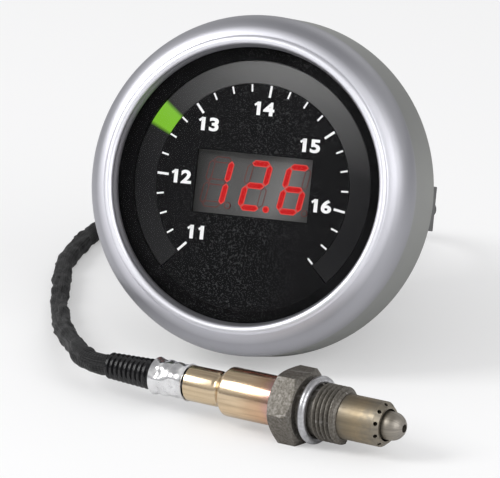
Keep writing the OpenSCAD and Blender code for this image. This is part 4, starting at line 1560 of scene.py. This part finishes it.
@dataclass
class Dial:
    """The printed marks and numbers, and the lit figures of the display."""

    marks: int = 24
    first_mark: float = 225.0
    mark_pitch: float = 11.74
    long_every: int = 4
    last_long: int = 20
    mark_out: float = 17.8
    long_in: float = 15.7
    long_wide: float = 0.42
    short_in: float = 16.5
    short_wide: float = 0.3
    print_t: float = 0.03
    # The numbers' letters before they are fitted: their size, how far they are fattened, their steps.
    letter: float = 3.2
    fatten: float = 0.12
    curve_steps: int = 6
    number_high: float = 2.4
    number_wide: float = 3.25
    ones_narrow: float = 0.8
    # The width of a 1's stem, and its flag's size, reach past the stem, drop from the top and slope.
    stem: float = 0.56
    flag_long: float = 0.85
    flag_wide: float = 0.4
    flag_out: float = 0.08
    flag_down: float = 0.42
    flag_slope: float = 38.0
    # Each number has its text and the place of its middle, beside its mark.
    numbers: tuple[tuple[str, float, float], ...] = (
        ("11", -9.36, -9.14), ("12", -13.0, 0.36), ("13", -8.92, 9.98),
        ("14", 1.09, 13.61), ("15", 10.2, 7.94), ("16", 13.38, -2.35))
    # The lit bars of each figure, by their usual letters.
    shown: tuple[str, ...] = ("bc", "abged", "afgcde")
    figure_high: float = 9.1
    figure_wide: float = 4.73
    figure_pitch: float = 7.17
    slant: float = 10.0
    bar: float = 1.18
    bar_gap: float = 0.09
    bar_edge: float = 0.15
    face_z: float = -1.8
    # A bar starts this far behind the display's face, and is this thick.
    sunk: float = 0.2
    bar_t: float = 0.26
    # A front face has more than four corners, and its normal's share towards the driver is over this.
    facing: float = 0.9
    # How far the point stands from its figure, for a bar's width of 1, and the corners that it has.
    point_off: float = 0.66
    point_sides: int = 20

    def tick(self, index: int) -> Piece:
        """Adds one mark of the scale at its angle.

        Args:
            index: its number, from the lower left.

        Returns:
            The mark.
        """
        long = index % self.long_every == 0 and index <= self.last_long
        inner, wide = (self.long_in, self.long_wide) if long else (self.short_in, self.short_wide)
        angle = math.radians(self.first_mark - index * self.mark_pitch)
        middle = (inner + self.mark_out) / 2
        return Bench.block(f"mark_{index}",
                           (middle * math.cos(angle), middle * math.sin(angle), self.print_t / 2),
                           (self.mark_out - inner, wide, self.print_t), angle)

    def number(self, text: str, x: float, y: float) -> Piece:
        """Adds one bold number of the scale, fitted to its height and width, with a flag on each 1.

        Args:
            text: the number, which starts with a 1.
            x: the place of its middle.
            y: the height of its middle.

        Returns:
            The number.
        """
        Bench.clear()
        bpy.ops.object.text_add()
        letters = bpy.context.active_object
        letters.data.body, letters.data.size = text, self.letter
        letters.data.offset, letters.data.extrude = self.fatten, self.print_t / 2
        letters.data.align_x = "CENTER"
        letters.data.resolution_u = self.curve_steps
        bpy.ops.object.convert(target="MESH")
        low = [min(v.co[i] for v in letters.data.vertices) for i in range(2)]
        high = [max(v.co[i] for v in letters.data.vertices) for i in range(2)]
        ones = text == "11"
        wide = self.number_wide * (self.ones_narrow if ones else 1.0)
        letters.scale = (wide / (high[0] - low[0]), self.number_high / (high[1] - low[1]), 1.0)
        letters.location = (x - letters.scale[0] * (low[0] + high[0]) / 2,
                            y - letters.scale[1] * (low[1] + high[1]) / 2, self.print_t / 2)
        Bench.bake()
        name = "number_" + text
        pieces = [Bench.named(name)]
        for left in [x - wide / 2, x + wide / 2 - self.stem][:2 if ones else 1]:
            centre = (left - self.flag_out, y + self.number_high / 2 - self.flag_down, self.print_t / 2)
            size = (self.flag_long, self.flag_wide, self.print_t)
            pieces.append(Bench.block("flag", centre, size, math.radians(self.flag_slope)))
        return Bench.joined(name, pieces)

    def plate(self, name: str, outline: Sequence[Ring]) -> Piece:
        """Draws an outline, fills and thickens it, and insets its front face for a paler edge.

        Args:
            name: the name of the piece.
            outline: its (x, y) corners in order, anticlockwise.

        Returns:
            The plate; its edge takes the first finish and its inset face the second.
        """
        Bench.chain([(x, y, self.face_z - self.sunk) for x, y in outline])
        Bench.all_on()
        bpy.ops.mesh.edge_face_add()
        bpy.ops.mesh.extrude_region_move(TRANSFORM_OT_translate={"value": (0.0, 0.0, self.bar_t)})
        bpy.ops.mesh.inset(thickness=self.bar_edge)
        Bench.outward()
        return Bench.named(name)

    def bars(self) -> dict[str, list[Piece]]:
        """Builds the bars of the three figures and their points.

        Returns:
            Lists of the lit and the unlit ones.
        """
        high, wide = self.figure_high - self.bar, self.figure_wide - self.bar
        half = self.bar / 2 - self.bar_gap / 2
        lean = math.tan(math.radians(self.slant))
        # Each bar has the usual letter, the place of its middle, and whether it lies flat.
        places = {"a": (0.0, high / 2, True), "g": (0.0, 0.0, True), "d": (0.0, -high / 2, True),
                  "f": (-wide / 2, high / 4, False), "b": (wide / 2, high / 4, False),
                  "e": (-wide / 2, -high / 4, False), "c": (wide / 2, -high / 4, False)}
        made: dict[str, list[Piece]] = {"lit": [], "unlit": []}
        for i, shown in enumerate(self.shown):
            for key, (x, y, flat) in places.items():
                long = (wide if flat else high / 2) / 2 - self.bar_gap
                tip = [(-long, 0.0), (-long + half, -half), (long - half, -half), (long, 0.0),
                       (long - half, half), (-long + half, half)]
                turned = tip if flat else [(-q, p) for p, q in tip]
                outline = [(x + p + (y + q) * lean + (i - 1) * self.figure_pitch, y + q) for p, q in turned]
                made["lit" if key in shown else "unlit"].append(self.plate(f"bar_{i}{key}", outline))
        x = self.figure_wide / 2 + self.point_off * self.bar - self.figure_high / 2 * lean
        y = self.bar / 2 - self.figure_high / 2
        turns = [math.tau * k / self.point_sides for k in range(self.point_sides)]
        ring = [(x + self.bar / 2 * math.cos(a), y + self.bar / 2 * math.sin(a)) for a in turns]
        for i, state in enumerate(("unlit", "lit", "unlit")):
            shifted = [(px + (i - 1) * self.figure_pitch, py) for px, py in ring]
            made[state].append(self.plate(f"point_{i}", shifted))
        return made

    def build(self) -> None:
        """Builds the print and the figures."""
        prints = {"scale_marks": [self.tick(i) for i in range(self.marks)],
                  "scale_numbers": [self.number(*n) for n in self.numbers]}
        for name, pieces in prints.items():
            drawn = GAUGE_SEAT.put(Bench.joined(name, pieces))
            Wardrobe.dress(drawn, "baffle_white", "gauge", finish=DIAL_WHITE)
        made = self.bars()
        # The unlit bars' front faces take the display face, with its painted reflection.
        for state, edge, face in (("lit", RED_EDGE, FINISHES["digit_red"]),
                                  ("unlit", GHOST_EDGE, DISPLAY_FACE)):
            bars = Bench.joined("figures_" + state, made[state])
            faces = [int(f.normal.z > self.facing and len(f.vertices) > 4) for f in bars.data.polygons]
            Wardrobe.dress(GAUGE_SEAT.put(bars), "digit_red", "gauge", ("digit_segments",), edge)
            bars.data.materials.append(Wardrobe.get(face))
            bars.data.polygons.foreach_set("material_index", faces)


@dataclass
class Bezel:
    """The turned aluminium bezel with its swelling face and its lip, painted bright as a highlight."""

    radius: float = 30.0
    # The swelling face is a stretched arc from the skirt to where the lip's arc takes over.
    swell_r: float = 4.58
    swell_h: float = 4.85
    swell_z: float = -0.8
    swell_end: float = 79.5
    lip_r: float = 25.45
    lip_z: float = 3.7
    lip_round: float = 0.8
    lip_start: float = 24.0
    lip_end: float = 198.0
    # The points by which the lip runs down to the window, out from it and in height.
    lip_foot: tuple[Ring, ...] = ((0.3, 3.1), (0.12, 2.8), (0.02, 2.5))
    window_r: float = 24.2
    bore_r: float = 25.8
    bore_front: float = 2.3
    bore_rear: float = -0.4
    screw_r: float = 27.3
    rear_z: float = -11.2
    rear_round: float = 0.35
    # The faces round the bezel and those of each arc, and the angle over which an edge stays sharp.
    steps: int = 192
    swell_steps: int = 26
    rear_steps: int = 5
    lip_steps: int = 18
    hard: float = 38.0

    def build(self) -> None:
        """Turns the bezel."""
        centre = self.radius - self.swell_r
        swell = [(centre + r, self.swell_z + z * self.swell_h / self.swell_r)
                 for r, z in arc((0.0, 0.0), self.swell_r, 0.0, self.swell_end, self.swell_steps)]
        rear = arc((self.radius - self.rear_round, self.rear_z + self.rear_round), self.rear_round,
                   -90.0, 0.0, self.rear_steps)
        lip = arc((self.lip_r, self.lip_z), self.lip_round, self.lip_start, self.lip_end, self.lip_steps)
        foot = [(self.window_r + out, z) for out, z in self.lip_foot]
        profile = [(self.screw_r, self.rear_z), *rear, *swell, *lip, *foot, (self.window_r, self.bore_front),
                   (self.bore_r, self.bore_front), (self.bore_r, self.bore_rear),
                   (self.screw_r, self.bore_rear)]
        turn_out("bezel_ring", profile, GAUGE_SEAT, "satin_aluminium", "bezel", "bezel", self.steps,
                 self.hard)


@dataclass
class Sensor:
    """The exhaust gas sensor's turned shells, its hexagon and thread, its ferrule and its ribbed boot."""

    hex_r: float = 6.928
    hex_len: float = 4.85
    hex_chamfer: float = 0.9
    hex_flat: float = 5.7
    # The blank that turns the hexagon's corners down reaches this far past them.
    blank_over: float = 0.3
    hex_ease: float = 0.13
    # Edges over hex_sharp degrees are rounded, and those over the hard angles stay sharp in the shading.
    hex_sharp: float = 25.0
    hex_hard: float = 30.0
    shell_hard: float = 40.0
    ferrule_hard: float = 45.0
    boot_hard: float = 60.0
    neck_r: float = 4.6
    # The neck starts inside the hexagon, and slopes down to the core, which is chamfered at its end.
    neck_in: float = 0.2
    neck_len: float = 0.9
    neck_slope: float = 0.1
    core_r: float = 4.38
    core_slope: Ring = (0.3, 0.35)
    # The tooth's root lies inside the core; its half heights at root and crest are shares of the pitch.
    root_in: float = 0.06
    tooth_root: float = 0.46
    tooth_crest: float = 0.08
    thread_r: float = 4.95
    thread_pitch: float = 0.86
    thread_turns: int = 5
    thread_steps: int = 60
    thread_start: float = 2.95
    thread_end: float = 7.8
    washer_in: float = 4.8
    washer_out: float = 5.9
    washer_z: float = 1.7
    washer_half: float = 0.75
    washer_edge: float = 0.08
    washer_steps: int = 14
    # The shells' outlines, from the hexagon to the ferrule. A rolled groove runs round the upper one.
    lower_shell: tuple[Ring, ...] = (
        (3.9, -3.4), (4.18, -3.4), *arc((4.18, -3.52), 0.12, 90, 0, 3)[1:], (4.3, -15.7), (4.26, -15.95),
        (4.12, -16.12), (3.5, -16.78), (3.32, -16.95), (3.2, -17.15), (3.14, -17.15), (3.14, -16.4),
        (3.4, -16.05), (3.9, -15.45))
    upper_shell: tuple[Ring, ...] = (
        (2.7, -15.85), (3.1, -15.85), (3.1, -17.1), (3.04, -17.28), (2.92, -17.45), (2.88, -17.6),
        (2.88, -17.9), (2.92, -18.05), (3.04, -18.22), (3.1, -18.4), (3.1, -24.05), (2.7, -24.05),
        (2.7, -18.7), (2.5, -18.3), (2.5, -17.2), (2.7, -16.8))
    ferrule_low: float = -31.35
    ferrule_high: float = -24.42
    ferrule_r: float = 3.2
    ferrule_in: float = 2.65
    ferrule_rim: float = 0.12
    ferrule_steps: int = 108
    # The ferrule's wall turns in at its foot, and its mouth's outline starts at the last rolled ring.
    ferrule_foot: float = 3.05
    ferrule_mouth: tuple[Ring, ...] = ((3.1, -24.42), (3.15, -24.42), (3.15, -24.62), (2.65, -24.82))
    # Points this far outside the bore are dented.
    wall: float = 0.2
    # The ferrule's rolled grooves: their number, their points and their depth, and the end rims' lift.
    rolls: int = 3
    roll_steps: int = 8
    roll_deep: float = 0.18
    roll_lift: float = 0.1
    # Two rows of dents: each row's height over the foot and its turn, and a dent's depth and reach.
    dents: int = 6
    dent_rows: tuple[Ring, ...] = ((1.8, 0.0), (4.9, math.pi))
    dent_deep: float = 0.36
    dent_reach: float = 0.8
    dent_sharp: float = 1.5
    # The boot's ribs: their number and points, their foot's radius at the tail and how much it grows
    # towards the ferrule, their height, and how blunt their crests are.
    ribs: int = 9
    rib_steps: int = 8
    rib_foot: float = 1.74
    rib_foot_more: float = 0.4
    rib_high: float = 0.58
    rib_blunt: float = 0.75
    boot_low: float = -41.35
    boot_high: float = -32.4
    boot_in: float = 1.1
    boot_steps: int = 64
    # The boot's collar and the flange in the ferrule's mouth, from the last rib on.
    boot_collar: tuple[Ring, ...] = (
        (2.25, -32.0), (2.27, -31.5), (2.7, -31.45), (2.7, -31.37), (1.1, -31.37))

    def hexagon(self) -> None:
        """Cuts the hexagon from a six sided bar and turns its corners down, and adds neck and thread."""
        Bench.clear()
        bpy.ops.mesh.primitive_cylinder_add(vertices=6, radius=self.hex_r, depth=self.hex_len,
                                            location=(0.0, 0.0, -self.hex_len / 2))
        Bench.bake()
        piece = Bench.named("sensor_hexagon")
        over = self.hex_r + self.blank_over
        blank = Bench.turned("blank", [(0.0, -self.hex_len), (self.hex_flat, -self.hex_len),
                                       (over, self.hex_chamfer - self.hex_len), (over, -self.hex_chamfer),
                                       (self.hex_flat, 0.0), (0.0, 0.0)])
        Bench.modify(piece, "BOOLEAN", operation="INTERSECT", object=blank, solver="EXACT")
        bpy.data.objects.remove(blank)
        Bench.ease(piece, self.hex_ease, over=self.hex_sharp)
        tip_r, tip_z = self.core_slope
        neck = Bench.turned("neck", [(0.0, -self.neck_in), (self.neck_r, -self.neck_in),
                                     (self.neck_r, self.neck_len - self.neck_slope),
                                     (self.core_r, self.neck_len), (self.core_r, self.thread_end - tip_z),
                                     (self.core_r - tip_r, self.thread_end), (0.0, self.thread_end)])
        piece = Bench.joined("sensor_hexagon", [piece, neck, self.thread()])
        piece = Bench.smooth(SENSOR_SEAT.put(piece), self.hex_hard)
        Wardrobe.dress(piece, "hex_steel", "gauge", ("hex_body",))

    def thread(self) -> Piece:
        """Winds one tooth round the axis as a thread, and closes its ends.

        Returns:
            The thread.
        """
        root, crest, z = self.core_r - self.root_in, self.thread_r, self.thread_start
        half, flat = self.thread_pitch * self.tooth_root, self.thread_pitch * self.tooth_crest
        tooth = [(root, z - half), (crest, z - flat), (crest, z + flat), (root, z + half)]
        Bench.chain([(radius, 0.0, height) for radius, height in tooth])
        piece = Bench.modify(Bench.named("thread"), "SCREW", angle=math.tau, screw_offset=self.thread_pitch,
                             iterations=self.thread_turns, steps=self.thread_steps,
                             render_steps=self.thread_steps, axis="Z", use_normal_calculate=True)
        Bench.edit(piece)
        Bench.weld()
        Bench.all_on()
        bpy.ops.mesh.fill_holes(sides=len(tooth))
        Bench.outward()
        return Bench.named("thread")

    def washer(self) -> None:
        """Turns the bright crushed washer."""
        half, edge = self.washer_half, self.washer_edge
        low, high = self.washer_z - half, self.washer_z + half
        profile = [(self.washer_in, low + edge), (self.washer_in + edge, low),
                   *arc((self.washer_out - half, self.washer_z), half, -90.0, 90.0, self.washer_steps),
                   (self.washer_in + edge, high), (self.washer_in, high - edge)]
        turn_out("washer_ring", profile, SENSOR_SEAT, "washer_steel", "sealing_washer", "washer")

    def shells(self) -> None:
        """Turns the two shells with rounded shoulders and the rolled groove."""
        for name, node, profile in (("shell_lower", "lower_shell", self.lower_shell),
                                    ("shell_upper", "upper_shell", self.upper_shell)):
            turn_out(name, profile, SENSOR_SEAT, "gold_shell", node, hard=self.shell_hard)

    def dent(self, spot: Vector) -> float:
        """Finds how deep the crimp dents are at a place on the ferrule.

        Args:
            spot: the place.

        Returns:
            The depth.
        """
        angle = math.atan2(spot.y, spot.x)
        return sum(self.dent_deep * math.exp(-((spot.z - self.ferrule_low - z) / self.dent_reach) ** 2)
                   * (0.5 + 0.5 * math.cos(angle * self.dents + shift)) ** self.dent_sharp
                   for z, shift in self.dent_rows)

    def ferrule(self) -> None:
        """Turns the ferrule with two rows of crimp dents between its rolled rings."""
        low, high, rim = self.ferrule_low, self.ferrule_high, self.ferrule_rim
        count = self.rolls * self.roll_steps
        outer = [(self.ferrule_r + (self.roll_lift if k in (0, count) else 0.0)
                  - self.roll_deep * (1 - math.cos(math.tau * k / self.roll_steps)) / 2,
                  low + rim + (high - low - 2 * rim) * k / count) for k in range(count + 1)]
        profile = [(self.ferrule_in, low), (self.ferrule_foot, low), *outer, *self.ferrule_mouth]
        piece = Bench.turned("ferrule_cap", profile, self.ferrule_steps)
        for vert in piece.data.vertices:
            radius = math.hypot(vert.co.x, vert.co.y)
            if radius >= self.ferrule_in + self.wall:
                share = 1 - self.dent(vert.co) / radius
                vert.co.x *= share
                vert.co.y *= share
        piece = Bench.smooth(SENSOR_SEAT.put(piece), self.ferrule_hard)
        Wardrobe.dress(piece, "ferrule_silver", "gauge", ("crimp_ferrule",))

    def boot(self) -> None:
        """Turns the rubber boot, whose ribs are larger towards the ferrule."""
        count = self.ribs * self.rib_steps
        ribs = []
        for k in range(count + 1):
            share = k / count
            crest = (0.5 - 0.5 * math.cos(math.tau * k / self.rib_steps)) ** self.rib_blunt
            ribs.append((self.rib_foot + self.rib_foot_more * share + self.rib_high * crest,
                         self.boot_low + (self.boot_high - self.boot_low) * share))
        profile = [(self.boot_in, self.boot_low), *ribs, *self.boot_collar]
        turn_out("boot_ribs", profile, SENSOR_SEAT, "boot_rubber", "ribbed_boot", steps=self.boot_steps,
                 hard=self.boot_hard)

    def build(self) -> None:
        """Builds the sensor."""
        for make in (self.hexagon, self.washer, self.shells, self.ferrule, self.boot):
            make()


class Rear:
    """The case and what stands on its rear face, with the edges that moulds and cutters leave."""

    # Each eased copy has its name, its node, its slot, its rounding and its body.
    EASED: tuple[tuple[str, str, str, float, str], ...] = (
        ("case_cup", "cup", "black_plastic", 0.25, "gauge"),
        ("socket_sensor", "sensor_socket", "black_plastic", 0.25, "gauge"),
        ("socket_power", "power_socket", "natural_plastic", 0.25, "gauge"),
        ("rear_studs", "bracket_studs", "zinc_steel", 0.18, "gauge"),
        ("rear_screws", "case_screws", "zinc_steel", 0.1, "gauge"),
        ("rotor", "selector_rotor", "natural_plastic", 0.12, "selector"))

    @classmethod
    def build(cls) -> None:
        """Builds the eased copies."""
        for name, node, slot, width, body in cls.EASED:
            Wardrobe.dress(Bench.eased_copy(name, node, width), slot, body, (node,))


def main() -> None:
    """Builds the object and the studio on the frame."""
    logging.basicConfig(level=logging.INFO, format="%(name)s: %(message)s")
    # Blender's own start-up objects aren't part of the object.
    for spare in [o for o in bpy.data.objects if o.name in ("Cube", "Light", "Camera")]:
        bpy.data.objects.remove(spare)
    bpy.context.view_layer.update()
    Wardrobe.dress_nodes()
    Lead().build()
    Bezel().build()
    Dial().build()
    Sensor().build()
    Rear.build()
    Studio().build()


if __name__ == "__main__":
    main()
